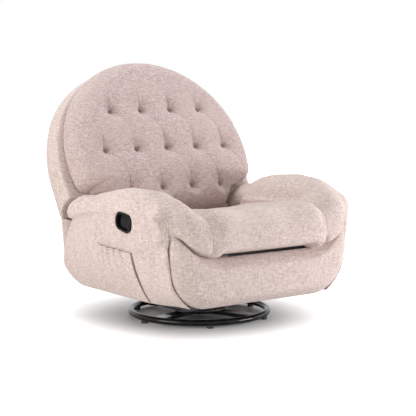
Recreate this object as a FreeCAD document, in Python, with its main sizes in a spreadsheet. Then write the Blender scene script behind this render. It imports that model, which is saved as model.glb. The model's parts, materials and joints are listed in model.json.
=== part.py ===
"""Swivel rocker recliner, as a parametric assembly of separate pieces (millimetres, +Z up, front facing -Y).

The chair is drawn about its swivel axis and then moved by axis_setback, so that the origin lies on the floor
under the middle of the whole chair. +X is the sitter's left, and the release handle and pocket are on -X.
"""
import FreeCAD, Part
import math
import os
from types import SimpleNamespace

import Sketcher
from FreeCAD import Placement, Rotation, Vector

DIMENSIONS = {
    # Whole chair
    "axis_setback": 70.0, "body_bottom": 118.0,
    # Foot: ring, crossed bars and glides
    "ring_radius": 273.5, "ring_tube": 12.5, "glide_radius": 13.0, "glide_height": 8.0, "glide_cup": 4.0,
    "base_turn": 17.0, "cross_width": 50.0, "cross_height": 14.0, "cross_wall": 3.0, "hub_radius": 75.0,
    # Swivel bearing
    "swivel_radius": 105.0, "swivel_plate": 4.0, "ball_radius": 5.0, "ball_track": 85.0, "plate_gap": 6.4,
    "ball_clearance": 0.1, "cage_thick": 2.0, "cage_width": 20.0, "running_clearance": 0.08,
    "king_radius": 8.0, "king_head": 13.0, "king_head_height": 6.0, "nut_height": 9.0, "nut_across": 15.0,
    "nut_play": 0.2,
    # Rocker
    "rocker_plate_length": 300.0, "rocker_plate_width": 190.0, "plate_corner": 20.0, "rock_height": 88.0,
    "axle_radius": 9.0, "axle_length": 270.0, "ear_thick": 5.0, "ear_inner": 112.0, "ear_width": 70.0,
    "ear_round": 18.0, "foot_width": 30.0, "hub_outer": 15.0, "hub_length": 40.0, "hub_inner": 66.0,
    "cradle_height": 122.0, "cradle_thick": 5.0, "cradle_depth": 220.0, "cradle_hole": 34.0,
    "spring_x": 45.0, "spring_y": 78.0, "spring_coil": 13.0, "spring_wire": 2.5,
    # Mechanism side plates and cross tubes
    "mech_inner": 284.0, "mech_thick": 4.0, "mech_top": 300.0, "mech_flange": 32.0, "mech_rear": 200.0,
    "tube_size": 22.0, "tube_wall": 2.0, "front_tube_y": 232.0, "front_tube_z": 150.0,
    "rear_tube_y": 150.0, "rear_tube_z": 215.0,
    # Footrest linkage
    "link_half": 79.0, "link_width": 20.0, "link_thick": 4.0, "link_gap": 1.0, "pin_radius": 5.0,
    "open_clearance": 0.4, "fold_closed": 80.0, "fold_open": 15.0, "footrest_turn": 90.0,
    "linkage_top": 282.0, "linkage_reach": 345.0, "slot_play": 3.0,
    # Footrest
    "board_back": 360.0, "board_thick": 12.0, "board_inset": 16.0, "bracket_flange": 30.0,
    "panel_front": 432.0, "panel_bottom": 112.0, "panel_top": 295.0, "panel_half": 421.0, "panel_tip": 392.0,
    "panel_foot": 270.0, "panel_flat": 225.0, "panel_gap": 3.5, "sweep_near": 40.0, "sweep_rise": 22.0,
    "sweep_far": 150.0, "sweep_top": 43.0,
    "panel_corner": 118.0, "panel_belly": 28.0, "panel_point": 18.0, "panel_dip": 15.0,
    # Seat
    "rail_width": 28.0, "rail_height": 40.0, "rail_front": 355.0, "rail_rear": 128.0, "strap_width": 50.0,
    "strap_thick": 1.5,
    "seat_half": 273.5, "seat_top": 464.0, "seat_fall": 54.0, "seat_front": 460.0, "seat_rear": 98.0,
    "seat_nose_low": 306.0, "seat_roll": 78.0, "seat_crest": 66.0, "soft_gap": 0.4,
    # Arms
    "ply_inner": 300.0, "ply_thick": 15.0, "ply_setback": 10.0, "ply_inset": 14.0, "ply_window": 88.0,
    "window_front": 250.0, "window_step": 130.0, "window_low": 210.0, "arm_inner": 275.0, "arm_outer": 489.0,
    "arm_top": 552.0, "arm_front": 458.0, "arm_rear": 222.0, "arm_stop": 95.0, "arm_taper": 58.0,
    "nose_back": 394.0, "nose_drop": 72.0, "nose_step": 1.5, "nose_crown": 376.0, "passage_rear": 80.0,
    "deck_front_y": 372.0, "deck_front": 396.0, "deck_crest_y": 90.0, "deck_crest": 446.0,
    "deck_rear_y": 188.0, "deck_rear": 402.0, "inner_rear": 92.0,
    "side_front": 364.0, "side_skin": 22.0, "wall_setback": 3.0, "side_foot": 382.0, "side_belly": 454.0,
    "belly_z": 250.0, "side_tuck": 8.0, "shoulder_z": 470.0, "side_tail_y": 330.0, "side_tail_z": 215.0,
    "tail_swell": 62.0, "tail_shoulder": 105.0, "side_heel_y": 262.0,
    "cheek_rear": 200.0, "cheek_front": 392.0, "cheek_foot": 376.0, "cheek_belly": 437.0,
    "cheek_shoulder": 433.0, "cheek_top": 402.0, "cheek_gap": 5.0,
    "base_rail_width": 40.0, "base_rail_height": 20.0, "base_rail_lift": 14.0, "base_rail_rear": 20.0,
    "spacer_radius": 9.0,
    # Side pocket
    "pocket_top": 317.0, "pocket_rise": 11.0, "pocket_front": 218.0, "pocket_rear": 2.0, "pocket_tail": 54.0,
    "pocket_depth": 13.0, "pocket_skin": 4.0, "pocket_foot": 126.0,
    # Release handle
    "handle_y": 184.0, "handle_z": 427.0, "handle_tilt": 12.0, "bezel_length": 102.0, "bezel_height": 68.0,
    "bezel_round": 30.0, "bezel_depth": 20.0, "bezel_wall": 5.0, "bezel_lip": 3.0, "bezel_proud": 1.5,
    "lever_length": 54.0, "lever_thick": 5.0, "lever_pin": 2.5, "lever_barrel": 2.0, "lever_setback": 14.0,
    "lever_play": 3.5, "cable_radius": 3.0,
    # Back
    "hinge_y": 160.0, "hinge_z": 332.0, "hinge_pin": 6.0, "back_lean": 28.0, "tuft_y": 236.0, "tuft_z": 657.0,
    "tuft_row": 171.0, "tuft_pitch": 147.0, "tuft_round": 46.0, "tuft_depth": 27.0, "button_radius": 12.0,
    "button_height": 6.0, "cushion_front": 32.0, "cushion_back": 88.0, "cushion_radius": 434.0,
    "cushion_centre": -17.0, "cushion_shoulder": -100.0, "cushion_foot": -262.0, "cushion_foot_half": 238.0,
    "shell_back": 212.0, "shell_flare": 50.0, "shell_radius": 474.0, "shell_centre": -44.0,
    "shell_low": -330.0, "shell_lift": 17.0, "frame_thick": 24.0, "frame_top": 300.0, "frame_low": -335.0,
    "post_width": 40.0, "bracket_thick": 4.0, "bracket_top": -140.0, "bracket_drop": 14.0,
    "swing_inner": 157.0, "swing_outer": 166.0, "skirt_thick": 4.0, "skirt_drop": 146.0, "skirt_share": 0.9,
}
GLIDES = 6
BALLS = 12
SPRING_TURNS = 3
SEAT_STRAPS = 5
CROSS_STRAPS = 3
SKIRT_FOLDS = 4
PLY_WINDOWS = 3
SPACER_SPOTS = ((-200.0, 180.0), (20.0, 180.0), (-120.0, 270.0), (120.0, 270.0))
FAR = 700.0
SIDES = {"left": 1, "right": -1}

doc = FreeCAD.newDocument("swivel_rocker_recliner")
sheet = doc.addObject("Spreadsheet::Sheet", "Dims")
for row, (alias, number) in enumerate(DIMENSIONS.items(), 1):
    sheet.set(f"A{row}", alias)
    sheet.set(f"B{row}", str(number))
    sheet.setAlias(f"B{row}", alias)
doc.recompute()


class Size:
    """A length or angle with its number and the sheet expression that gives it."""

    def __init__(self, value, text):
        self.value = float(value)
        self.text = text

    @staticmethod
    def of(other):
        return other if isinstance(other, Size) else Size(other, repr(float(other)))

    def __float__(self):
        return self.value

    def __neg__(self):
        return Size(-self.value, f"(-1 * {self.text})")

    def __add__(self, other):
        other = Size.of(other)
        return Size(self.value + other.value, f"({self.text} + {other.text})")

    def __sub__(self, other):
        other = Size.of(other)
        return Size(self.value - other.value, f"({self.text} - {other.text})")

    def __mul__(self, other):
        other = Size.of(other)
        return Size(self.value * other.value, f"({self.text} * {other.text})")

    def __truediv__(self, other):
        other = Size.of(other)
        return Size(self.value / other.value, f"({self.text} / {other.text})")

    def __radd__(self, other):
        return Size.of(other) + self

    def __rsub__(self, other):
        return Size.of(other) - self

    def __rmul__(self, other):
        return Size.of(other) * self


S = SimpleNamespace(**{alias: Size(getattr(sheet, alias), f"Dims.{alias}") for alias in DIMENSIONS})
V = SimpleNamespace(**{alias: float(getattr(sheet, alias)) for alias in DIMENSIONS})
nodes = {}


def cosine(angle):
    return Size(math.cos(math.radians(float(angle))), f"cos({Size.of(angle).text} * 1deg)")


def sine(angle):
    return Size(math.sin(math.radians(float(angle))), f"sin({Size.of(angle).text} * 1deg)")


def bind(thing, prop, size):
    """Sets a property to a number, or ties it to the sheet."""
    if isinstance(size, Size):
        thing.setExpression(prop, size.text)
    else:
        setattr(thing, prop, size)


def place(thing, x, y, z, axis=None, angle=0.0):
    """Moves a thing to a point of the chair, measured from the swivel axis and the floor."""
    turn = Rotation(axis, float(angle)) if axis else Rotation()
    y = Size.of(y) - S.axis_setback
    thing.Placement = Placement(Vector(float(x), float(y), float(z)), turn)
    for letter, size in (("x", x), ("y", y), ("z", z)):
        if isinstance(size, Size):
            thing.setExpression(f"Placement.Base.{letter}", size.text)
    return thing


def node(thing, label):
    """Names a finished sub-part; its file takes the same name."""
    thing.Label = label
    nodes[label] = thing
    return thing


def primitive(kind, name, **sizes):
    thing = doc.addObject(f"Part::{kind}", name)
    for prop, size in sizes.items():
        bind(thing, prop, size)
    return thing


def cylinder(name, radius, height):
    return primitive("Cylinder", name, Radius=radius, Height=height)


def box(name, length, width, height):
    return primitive("Box", name, Length=length, Width=width, Height=height)


def fuse(name, things):
    joined = doc.addObject("Part::MultiFuse", name)
    joined.Shapes = things
    return joined


def group(name, things):
    kept = doc.addObject("Part::Compound", name)
    kept.Links = things
    return kept


def cut(name, base, *tools):
    result = doc.addObject("Part::Cut", name)
    result.Base = base
    result.Tool = tools[0] if len(tools) == 1 else fuse(f"{name}_tools", list(tools))
    return result


def common(name, one, other):
    result = doc.addObject("Part::Common", name)
    result.Base = one
    result.Tool = other
    return result


def feature(name, shape):
    """A shape made in the chair's own coordinates. A turned shape is wrapped, so that it keeps its turn."""
    thing = doc.addObject("Part::Feature", name)
    thing.Shape = shape if shape.Placement.isIdentity() else Part.makeCompound([shape])
    return place(thing, 0.0, 0.0, 0.0)


def new_body(name):
    return doc.addObject("PartDesign::Body", name)


def new_sketch(body, role):
    plane = next(item for item in body.Origin.OriginFeatures if item.Role == role)
    sketch = body.newObject("Sketcher::SketchObject", f"{body.Name}_sketch")
    sketch.AttachmentSupport = [(plane, "")]
    sketch.MapMode = "FlatFace"
    return sketch


def point_at(pair):
    return Vector(float(pair[0]), float(pair[1]), 0)


def tie_point(sketch, edge, end, pair):
    """Ties an edge's end to its sheet sizes."""
    for kind, size in (("DistanceX", pair[0]), ("DistanceY", pair[1])):
        if isinstance(size, Size):
            index = sketch.addConstraint(Sketcher.Constraint(kind, -1, 1, edge, end, float(size)))
            sketch.setExpression(f"Constraints[{index}]", size.text)


def outline(sketch, corners):
    """Draws a closed outline. A corner is (x, y), or (x, y, via) with an arc through via to the next."""
    first = sketch.GeometryCount
    for index, corner in enumerate(corners):
        start = point_at(corner)
        end = point_at(corners[(index + 1) % len(corners)])
        if len(corner) == 3:
            sketch.addGeometry(Part.Arc(start, point_at(corner[2]), end), False)
        else:
            sketch.addGeometry(Part.LineSegment(start, end), False)
    count = len(corners)
    ends = []
    for index in range(count):
        curve = sketch.Geometry[first + index]
        start = point_at(corners[index])
        ends.append((1, 2) if curve.StartPoint.isEqual(start, 1e-4) else (2, 1))
    for index in range(count):
        after = (index + 1) % count
        pair = Sketcher.Constraint("Coincident", first + index, ends[index][1], first + after, ends[after][0])
        sketch.addConstraint(pair)
    for index in range(count):
        tie_point(sketch, first + index, ends[index][0], corners[index])


def circle(sketch, centre, radius):
    edge = sketch.addGeometry(Part.Circle(point_at(centre), Vector(0, 0, 1), float(radius)), False)
    tie_point(sketch, edge, 3, centre)
    index = sketch.addConstraint(Sketcher.Constraint("Radius", edge, float(radius)))
    if isinstance(radius, Size):
        sketch.setExpression(f"Constraints[{index}]", radius.text)


def rectangle(sketch, x0, y0, x1, y1):
    outline(sketch, [(x0, y0), (x1, y0), (x1, y1), (x0, y1)])


def slot(sketch, start, length, radius, angle=0.0):
    """A round-ended slot from start along the given direction."""
    along = Vector(math.cos(math.radians(float(angle))), math.sin(math.radians(float(angle))), 0)
    across = Vector(-along.y, along.x, 0)
    begin = point_at(start)
    end = begin + along * float(length)
    side = across * float(radius)
    out = along * float(radius)
    edges = [Part.LineSegment(begin + side, end + side), Part.Arc(end + side, end + out, end - side),
             Part.LineSegment(end - side, begin - side), Part.Arc(begin - side, begin - out, begin + side)]
    for edge in edges:
        sketch.addGeometry(edge, False)


def pad(body, sketch, length, back=False):
    thing = body.newObject("PartDesign::Pad", f"{body.Name}_pad")
    thing.Profile = sketch
    bind(thing, "Length", length)
    thing.Reversed = back
    return thing


def pocket(body, sketch, length, back=False):
    """Cuts a sketch out of a body and makes sure that something was cut."""
    doc.recompute()
    before = body.Shape.Volume
    thing = body.newObject("PartDesign::Pocket", f"{body.Name}_pocket")
    thing.Profile = sketch
    bind(thing, "Length", length)
    thing.Reversed = back
    doc.recompute()
    if not body.Shape.Volume < before - 1e-3:
        raise RuntimeError(f"{body.Name}: a pocket cuts nothing")
    return thing


def round_edges(body, radius, direction):
    """Rounds every straight edge of a body that runs along a direction."""
    doc.recompute()
    base = body.Tip
    names = []
    for index, edge in enumerate(base.Shape.Edges, 1):
        straight = isinstance(edge.Curve, Part.Line)
        if straight and abs(abs(edge.tangentAt(edge.FirstParameter).dot(direction)) - 1) < 1e-6:
            names.append(f"Edge{index}")
    thing = body.newObject("PartDesign::Fillet", f"{body.Name}_fillet")
    thing.Base = (base, names)
    bind(thing, "Radius", radius)
    return thing


# Foot: a ring on glides, with crossed channel bars and a hub
ring_z = S.glide_height + S.ring_tube
ring = primitive("Torus", "ring", Radius1=S.ring_radius, Radius2=S.ring_tube)
node(place(ring, 0, 0, ring_z), "base_ring")

feet = []
for index in range(GLIDES):
    angle = S.base_turn + 45.0 + index * 360.0 / GLIDES
    foot = cylinder("glide", S.glide_radius, S.glide_height + S.glide_cup)
    feet.append(place(foot, S.ring_radius * cosine(angle), S.ring_radius * sine(angle), 0))
node(cut("glides", fuse("glide_set", feet), ring), "base_glides")

cross_z = ring_z - S.cross_height / 3
bars = new_body("bars")
for along_x in (True, False):
    reach = S.ring_radius
    wide = S.cross_width / 2
    bar = new_sketch(bars, "XY_Plane")
    if along_x:
        rectangle(bar, -reach, -wide, reach, wide)
    else:
        rectangle(bar, -wide, -reach, wide, reach)
    pad(bars, bar, S.cross_height)
for along_x in (True, False):
    inner = S.cross_width / 2 - S.cross_wall
    stop = S.ring_radius - S.ring_tube - S.cross_wall * 2
    hollow = new_sketch(bars, "XY_Plane")
    if along_x:
        rectangle(hollow, -stop, -inner, stop, inner)
    else:
        rectangle(hollow, -inner, -stop, inner, stop)
    pocket(bars, hollow, S.cross_height - S.cross_wall, back=True)
hub = new_sketch(bars, "XY_Plane")
circle(hub, (0.0, 0.0), S.hub_radius)
circle(hub, (0.0, 0.0), S.king_radius)
pad(bars, hub, S.cross_height)
bore = new_sketch(bars, "XY_Plane")
circle(bore, (0.0, 0.0), S.king_radius)
pocket(bars, bore, S.cross_height, back=True)
place(bars, 0, 0, cross_z, Vector(0, 0, 1), V.base_turn)
node(cut("cross", bars, ring), "base_cross")

# Swivel: two grooved plates on caged balls round a king bolt
lower_z = cross_z + S.cross_height
ball_z = lower_z + S.swivel_plate + S.plate_gap / 2
upper_z = lower_z + S.swivel_plate + S.plate_gap
rocker_z = upper_z + S.swivel_plate
king_bore = S.king_radius + S.running_clearance


def ball_groove():
    groove = primitive("Torus", "groove", Radius1=S.ball_track, Radius2=S.ball_radius + S.ball_clearance)
    return place(groove, 0, 0, ball_z)


def round_ring(name, z, height, outer, inner):
    disc = place(cylinder(name, outer, height), 0, 0, z)
    hole = place(cylinder(f"{name}_hole", inner, height + 2.0), 0, 0, z - 1.0)
    return cut(f"{name}_ring", disc, hole)


lower = round_ring("lower", lower_z, S.swivel_plate, S.swivel_radius, S.king_radius)
node(cut("lower_plate", lower, ball_groove()), "swivel_lower_plate")

cage_z = ball_z - S.cage_thick / 2
cage_half = S.cage_width / 2
cage = round_ring("cage", cage_z, S.cage_thick, S.ball_track + cage_half, S.ball_track - cage_half)
balls = []
seats = []
for index in range(BALLS):
    angle = index * 360.0 / BALLS
    ball_x = S.ball_track * cosine(angle)
    ball_y = S.ball_track * sine(angle)
    ball = primitive("Sphere", "ball", Radius=S.ball_radius)
    balls.append(place(ball, ball_x, ball_y, ball_z))
    seat = cylinder("ball_seat", S.ball_radius + S.ball_clearance, S.cage_thick * 3)
    seats.append(place(seat, ball_x, ball_y, cage_z - S.cage_thick))
node(cut("ball_cage_cut", cage, *seats), "swivel_ball_cage")
node(group("ball_set", balls), "swivel_balls")

king_length = rocker_z + S.nut_height + 3.0 - cross_z
king_shaft = place(cylinder("king_shaft", S.king_radius, king_length), 0, 0, cross_z)
king_head = cylinder("king_head", S.king_head, S.king_head_height)
place(king_head, 0, 0, cross_z - S.king_head_height)
node(fuse("king", [king_shaft, king_head]), "king_bolt")
nut = primitive("Prism", "nut", Polygon=6, Circumradius=S.nut_across, Height=S.nut_height)
place(nut, 0, 0, rocker_z + S.nut_play)
nut_hole = place(cylinder("nut_hole", S.king_radius, S.nut_height + 4.0), 0, 0, rocker_z - 1.0)
node(cut("nut_cut", nut, nut_hole), "king_nut")

upper = new_body("upper")
plate = new_sketch(upper, "XY_Plane")
half_length = S.rocker_plate_length / 2
half_width = S.rocker_plate_width / 2
rectangle(plate, -half_length, -half_width, half_length, half_width)
pad(upper, plate, S.swivel_plate)
round_edges(upper, S.plate_corner, Vector(0, 0, 1))
bore = new_sketch(upper, "XY_Plane")
circle(bore, (0.0, 0.0), king_bore)
pocket(upper, bore, S.swivel_plate, back=True)
place(upper, 0, 0, upper_z)
node(cut("upper_plate", upper, ball_groove()), "swivel_upper_plate")

# Rocker: a shaft in two ears, with hubs, a cradle and four centring springs
ear_height = S.rock_height - rocker_z
ears = []
for name, side in SIDES.items():
    ear = new_body(f"ear_{name}")
    face = new_sketch(ear, "YZ_Plane")
    base = S.ear_width / 2
    outline(face, [(-base, 0.0), (base, 0.0), (base, S.swivel_plate),
                   (S.ear_round, ear_height, (0.0, ear_height + S.ear_round)),
                   (-S.ear_round, ear_height), (-base, S.swivel_plate)])
    circle(face, (0.0, ear_height), S.axle_radius)
    pad(ear, face, S.ear_thick)
    foot = new_sketch(ear, "XY_Plane")
    far = S.ear_thick + S.foot_width
    if side > 0:
        rectangle(foot, S.ear_thick / 2, -base, far, base)
    else:
        rectangle(foot, S.ear_thick - far, -base, S.ear_thick / 2, base)
    pad(ear, foot, S.swivel_plate)
    place(ear, S.ear_inner if side > 0 else -(S.ear_inner + S.ear_thick), 0, rocker_z)
    ears.append(ear)
node(group("ears", ears), "rocker_brackets")

axle = cylinder("axle", S.axle_radius, S.axle_length)
node(place(axle, -(S.axle_length / 2), 0, S.rock_height, Vector(0, 1, 0), 90), "rocker_shaft")

hubs = []
for name, side in SIDES.items():
    start = S.hub_inner if side > 0 else -(S.hub_inner + S.hub_length)
    sleeve = cylinder("sleeve", S.hub_outer, S.hub_length)
    place(sleeve, start, 0, S.rock_height, Vector(0, 1, 0), 90)
    web = box("web", S.hub_length, S.hub_outer * 2, S.cradle_height - S.rock_height)
    place(web, start, -S.hub_outer, S.rock_height)
    bore = cylinder("hub_bore", S.axle_radius + S.running_clearance, S.hub_length + 2.0)
    place(bore, start - 1.0, 0, S.rock_height, Vector(0, 1, 0), 90)
    hubs.append(cut(f"hub_{name}", fuse(f"hub_body_{name}", [sleeve, web]), bore))
node(group("hubs", hubs), "rocker_hubs")

cradle_half = S.mech_inner + S.mech_thick
cradle = new_body("cradle")
plate = new_sketch(cradle, "XY_Plane")
rectangle(plate, -cradle_half, -(S.cradle_depth / 2), cradle_half, S.cradle_depth / 2)
pad(cradle, plate, S.cradle_thick)
round_edges(cradle, S.plate_corner, Vector(0, 0, 1))
windows = new_sketch(cradle, "XY_Plane")
for across in (-1.0, 1.0):
    middle = (S.hub_inner + S.hub_length + cradle_half) / 2
    circle(windows, (middle * across, 0.0), S.cradle_hole)
pocket(cradle, windows, S.cradle_thick, back=True)
node(place(cradle, 0, 0, S.cradle_height), "rocker_cradle")


def arc_from(start, tangent, end):
    """The arc that leaves start along a tangent and reaches end."""
    chord = end - start
    normal = chord - tangent * chord.dot(tangent)
    normal.normalize()
    radius = chord.dot(chord) / (2 * normal.dot(chord))
    centre = start + normal * radius
    outward = (start + end) * 0.5 - centre
    outward.normalize()
    return Part.Arc(start, centre + outward * abs(radius), end)


def biarc(start, start_way, end, end_way):
    """Two arcs that join two points and keep the direction at each."""
    step = end - start
    ways = start_way + end_way
    spread = 2 * (1 - start_way.dot(end_way))
    along = step.dot(ways)
    reach = (-along + math.sqrt(along * along + spread * step.dot(step))) / spread
    middle = (start + end + (start_way - end_way) * reach) * 0.5
    return [arc_from(start, start_way, middle), arc_from(end, end_way * -1, middle)]


def tube(curves, radius):
    """A round tube along a chain of lines and arcs."""
    path = Part.Wire(Part.__sortEdges__([curve.toShape() for curve in curves]))
    first = path.OrderedEdges[0]
    start = path.OrderedVertexes[0].Point
    way = first.tangentAt(first.FirstParameter)
    ring_edge = Part.Circle(start, way, radius).toShape()
    solid = path.makePipeShell([Part.Wire([ring_edge])], True, False)
    solid = Part.Solid(solid) if solid.ShapeType == "Shell" else solid
    ideal = math.pi * radius * radius * path.Length
    if abs(abs(solid.Volume) - ideal) > 0.03 * ideal:
        raise RuntimeError("a tube has the wrong volume")
    return solid


def coil_spring(x, y, low, high):
    """The middle line of a coil spring stood on a plate, on half-turn biarcs."""
    rise = high - low - 2 * V.spring_wire
    halves = SPRING_TURNS * 2
    pitch = rise / SPRING_TURNS / (2 * math.pi)
    points = []
    for index in range(halves + 1):
        turn = math.pi * index
        spot = Vector(x + V.spring_coil * math.cos(turn), y + V.spring_coil * math.sin(turn),
                      low + V.spring_wire + rise * index / halves)
        way = Vector(-V.spring_coil * math.sin(turn), V.spring_coil * math.cos(turn), pitch)
        way.normalize()
        points.append((spot, way))
    curves = []
    for one, two in zip(points, points[1:]):
        curves += biarc(*one, *two)
    return curves


def self_gap(curves, radius):
    """The least gap between a coil's own turns, measured on points along it."""
    spots = []
    for number, curve in enumerate(curves):
        spots += [(number, spot) for spot in curve.toShape().discretize(Number=12)]
    half_turn = len(curves) / SPRING_TURNS / 2
    apart = [(spot - other).Length for number, spot in spots for later, other in spots
             if later - number >= half_turn]
    return min(apart) - 2 * radius


coils = [coil_spring(across * V.spring_x, along * V.spring_y, float(rocker_z), V.cradle_height)
         for across in (-1, 1) for along in (-1, 1)]
print("least gap between spring turns", round(self_gap(coils[0], V.spring_wire), 2), "mm")
springs = [tube(curves, V.spring_wire) for curves in coils]
node(feature("springs", Part.makeCompound(springs)), "rocker_springs")

# Mechanism side plates with the footrest slot, the seat flange and the back hinge
fold_run = S.link_half * cosine(S.fold_closed)
fold_rise = S.link_half * sine(S.fold_closed)
open_rise = S.link_half * sine(S.fold_open)
fold_back = -S.linkage_reach + fold_run * 4
slot_low = S.linkage_top - fold_rise * 2
slot_high = S.linkage_top - open_rise * 2
pin_hole = S.pin_radius + S.running_clearance


def layer(number, side):
    """Where the plate of a linkage layer starts, counted inwards from the mechanism plate."""
    near = S.mech_inner - (S.link_thick + S.link_gap) * number
    return near if side > 0 else -(near + S.link_thick)


def stud(body, centre, radius, inward, side, thick, reach):
    """A pin fixed in a plate, standing out of its inner or outer face."""
    spot = new_sketch(body, "YZ_Plane")
    circle(spot, centre, radius)
    towards_minus = inward == (side > 0)
    pad(body, spot, reach if towards_minus else reach + thick, back=towards_minus)


for name, side in SIDES.items():
    mech = new_body(f"mech_{name}")
    face = new_sketch(mech, "YZ_Plane")
    toe = fold_back - S.link_width
    heel = fold_back + S.link_width
    cradle_top = S.cradle_height + S.cradle_thick
    ear = S.hinge_pin * 4
    outline(face, [(toe, slot_low - S.link_width / 2), (heel, slot_low - S.link_width / 2),
                   (heel + S.link_width, cradle_top), (S.cradle_depth / 2, cradle_top),
                   (S.mech_rear, S.rear_tube_z), (S.mech_rear, S.mech_top),
                   (S.hinge_y + ear, S.hinge_z, (S.hinge_y, S.hinge_z + ear)),
                   (S.hinge_y - ear, S.hinge_z), (S.hinge_y - ear, S.mech_top), (toe, S.mech_top)])
    slot(face, (fold_back, slot_low), slot_high - slot_low + 1.0, S.pin_radius + S.open_clearance, 90.0)
    circle(face, (S.hinge_y, S.hinge_z), S.hinge_pin)
    pad(mech, face, S.mech_thick)
    low_edge = S.mech_thick - S.mech_flange
    for height, begin, finish in ((cradle_top, -(S.cradle_depth / 2), S.cradle_depth / 2),
                                  (S.mech_top - S.mech_thick, heel, S.rail_rear)):
        flange = new_sketch(mech, "XY_Plane")
        if side > 0:
            rectangle(flange, low_edge, begin, S.mech_thick / 2, finish)
        else:
            rectangle(flange, S.mech_thick / 2, begin, S.mech_flange, finish)
        flange.AttachmentOffset = Placement(Vector(0, 0, float(height)), Rotation())
        flange.setExpression("AttachmentOffset.Base.z", height.text)
        pad(mech, flange, S.mech_thick)
    reach = S.link_gap + S.link_thick
    stud(mech, (fold_back, S.linkage_top), S.pin_radius, True, side, S.mech_thick, reach)
    place(mech, S.mech_inner if side > 0 else -(S.mech_inner + S.mech_thick), 0, 0)
    node(mech, f"mechanism_plate_{name}")


def square_tube(name, y, z):
    outer = box(name, S.mech_inner * 2, S.tube_size, S.tube_size)
    place(outer, -S.mech_inner, y - S.tube_size / 2, z - S.tube_size / 2)
    bore_size = S.tube_size - S.tube_wall * 2
    inner = box(f"{name}_bore", S.mech_inner * 2 + 2.0, bore_size, bore_size)
    place(inner, -S.mech_inner - 1.0, y - bore_size / 2, z - bore_size / 2)
    return cut(f"{name}_cut", outer, inner)


node(square_tube("front_tube", -S.front_tube_y, S.front_tube_z), "chassis_front_tube")
node(square_tube("rear_tube", S.rear_tube_y, S.rear_tube_z), "chassis_rear_tube")

# Footrest linkage: a two-stage lazy tong and a tilt link on each side
bracket_drop = (fold_rise * fold_rise - open_rise * open_rise) / fold_rise
tilt_length = fold_rise * 2 - bracket_drop
far_y = -S.linkage_reach
mid_y = fold_back - fold_run * 2


def link(label, side, number, start, angle, length, holes, studs):
    """A flat bar from a pivot along an angle, with holes and pins at distances along it."""
    body = new_body(label)
    face = new_sketch(body, "YZ_Plane")
    slot(face, (0.0, 0.0), length, S.link_width / 2)
    for spot, radius in holes:
        circle(face, (spot, 0.0), radius)
    pad(body, face, S.link_thick)
    reach = S.link_gap + S.link_thick
    for spot, inward, layers in studs:
        stud(body, (spot, 0.0), S.pin_radius, inward, side, S.link_thick, reach * float(layers))
    place(body, layer(number, side), start[0], start[1], Vector(1, 0, 0), angle)
    node(body, f"{label}_{'left' if side > 0 else 'right'}")


def mid_error():
    """How far the tilt link's end strays from the bracket at half travel, as seen by the bracket."""
    half_turn = math.radians((V.fold_closed - V.fold_open) / 2)
    rise = 2 * V.link_half * math.sin(math.radians(V.fold_closed) - half_turn)
    end_way = math.atan2(2 * float(open_rise), float(bracket_drop))
    way = (math.pi / 2 + end_way) / 2
    tip = (float(tilt_length) * math.cos(way), float(tilt_length) * math.sin(way) - rise)
    swung = math.radians(V.footrest_turn) / 2
    forward = tip[0] * math.cos(swung) + tip[1] * math.sin(swung)
    upward = -tip[0] * math.sin(swung) + tip[1] * math.cos(swung)
    return -forward, upward + float(bracket_drop)


stray = mid_error()
for name, side in SIDES.items():
    full = S.link_half * 2
    steep = -(180.0 - V.fold_closed)
    rising = 180.0 - V.fold_closed
    link("rear_lower_link", side, 1, (fold_back, S.linkage_top), steep, full,
         [(0.0, pin_hole)], [(S.link_half, True, 1), (full, True, 1)])
    link("rear_upper_link", side, 2, (fold_back, slot_low), rising, full,
         [(S.link_half, pin_hole)], [(0.0, False, 2), (full, False, 1)])
    link("front_lower_link", side, 1, (mid_y, S.linkage_top), steep, full,
         [(0.0, pin_hole)], [(S.link_half, True, 1), (full, True, 2)])
    link("front_upper_link", side, 2, (mid_y, slot_low), rising, full,
         [(0.0, pin_hole), (S.link_half, S.pin_radius + S.open_clearance)], [(full, True, 2)])
    link("tilt_link", side, 3, (far_y, slot_low), 90.0, tilt_length,
         [(0.0, pin_hole)], [(tilt_length, True, 1)])

    bracket = new_body(f"bracket_{name}")
    face = new_sketch(bracket, "YZ_Plane")
    root = -(S.board_back - S.linkage_reach)
    edge = S.link_width * 0.6
    reach_low = -(bracket_drop + S.link_width)
    outline(face, [(root, reach_low), (edge, reach_low), (edge, 0.0, (0.0, edge)), (-edge, 0.0), (root, 0.0)])
    circle(face, (0.0, 0.0), pin_hole)
    pad(bracket, face, S.link_thick)
    way = math.degrees(math.atan2(stray[1], stray[0]))
    open_slot = new_sketch(bracket, "YZ_Plane")
    slot(open_slot, (0.0, -bracket_drop), math.hypot(*stray), S.pin_radius + S.slot_play, way)
    pocket(bracket, open_slot, S.link_thick, back=True)
    flange = new_sketch(bracket, "XZ_Plane")
    if side > 0:
        rectangle(flange, S.link_thick - S.bracket_flange, reach_low, S.link_thick, 0.0)
    else:
        rectangle(flange, 0.0, reach_low, S.bracket_flange, 0.0)
    flange.AttachmentOffset = Placement(Vector(0, 0, -float(root)), Rotation())
    flange.setExpression("AttachmentOffset.Base.z", (-root).text)
    pad(bracket, flange, S.link_thick / 2, back=True)
    place(bracket, layer(4, side), far_y, S.linkage_top)
    node(bracket, f"footrest_bracket_{name}")


# Outlines of soft pieces, as wires of lines and arcs
def wire(corners, lift):
    """A closed wire from plane corners; a corner is (a, b) or (a, b, via), and lift gives the space point."""
    edges = []
    for index, corner in enumerate(corners):
        start = lift(*corner[:2])
        end = lift(*corners[(index + 1) % len(corners)][:2])
        if len(corner) == 3:
            edges.append(Part.Arc(start, lift(*corner[2]), end).toShape())
        else:
            edges.append(Part.LineSegment(start, end).toShape())
    return Part.Wire(edges)


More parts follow.
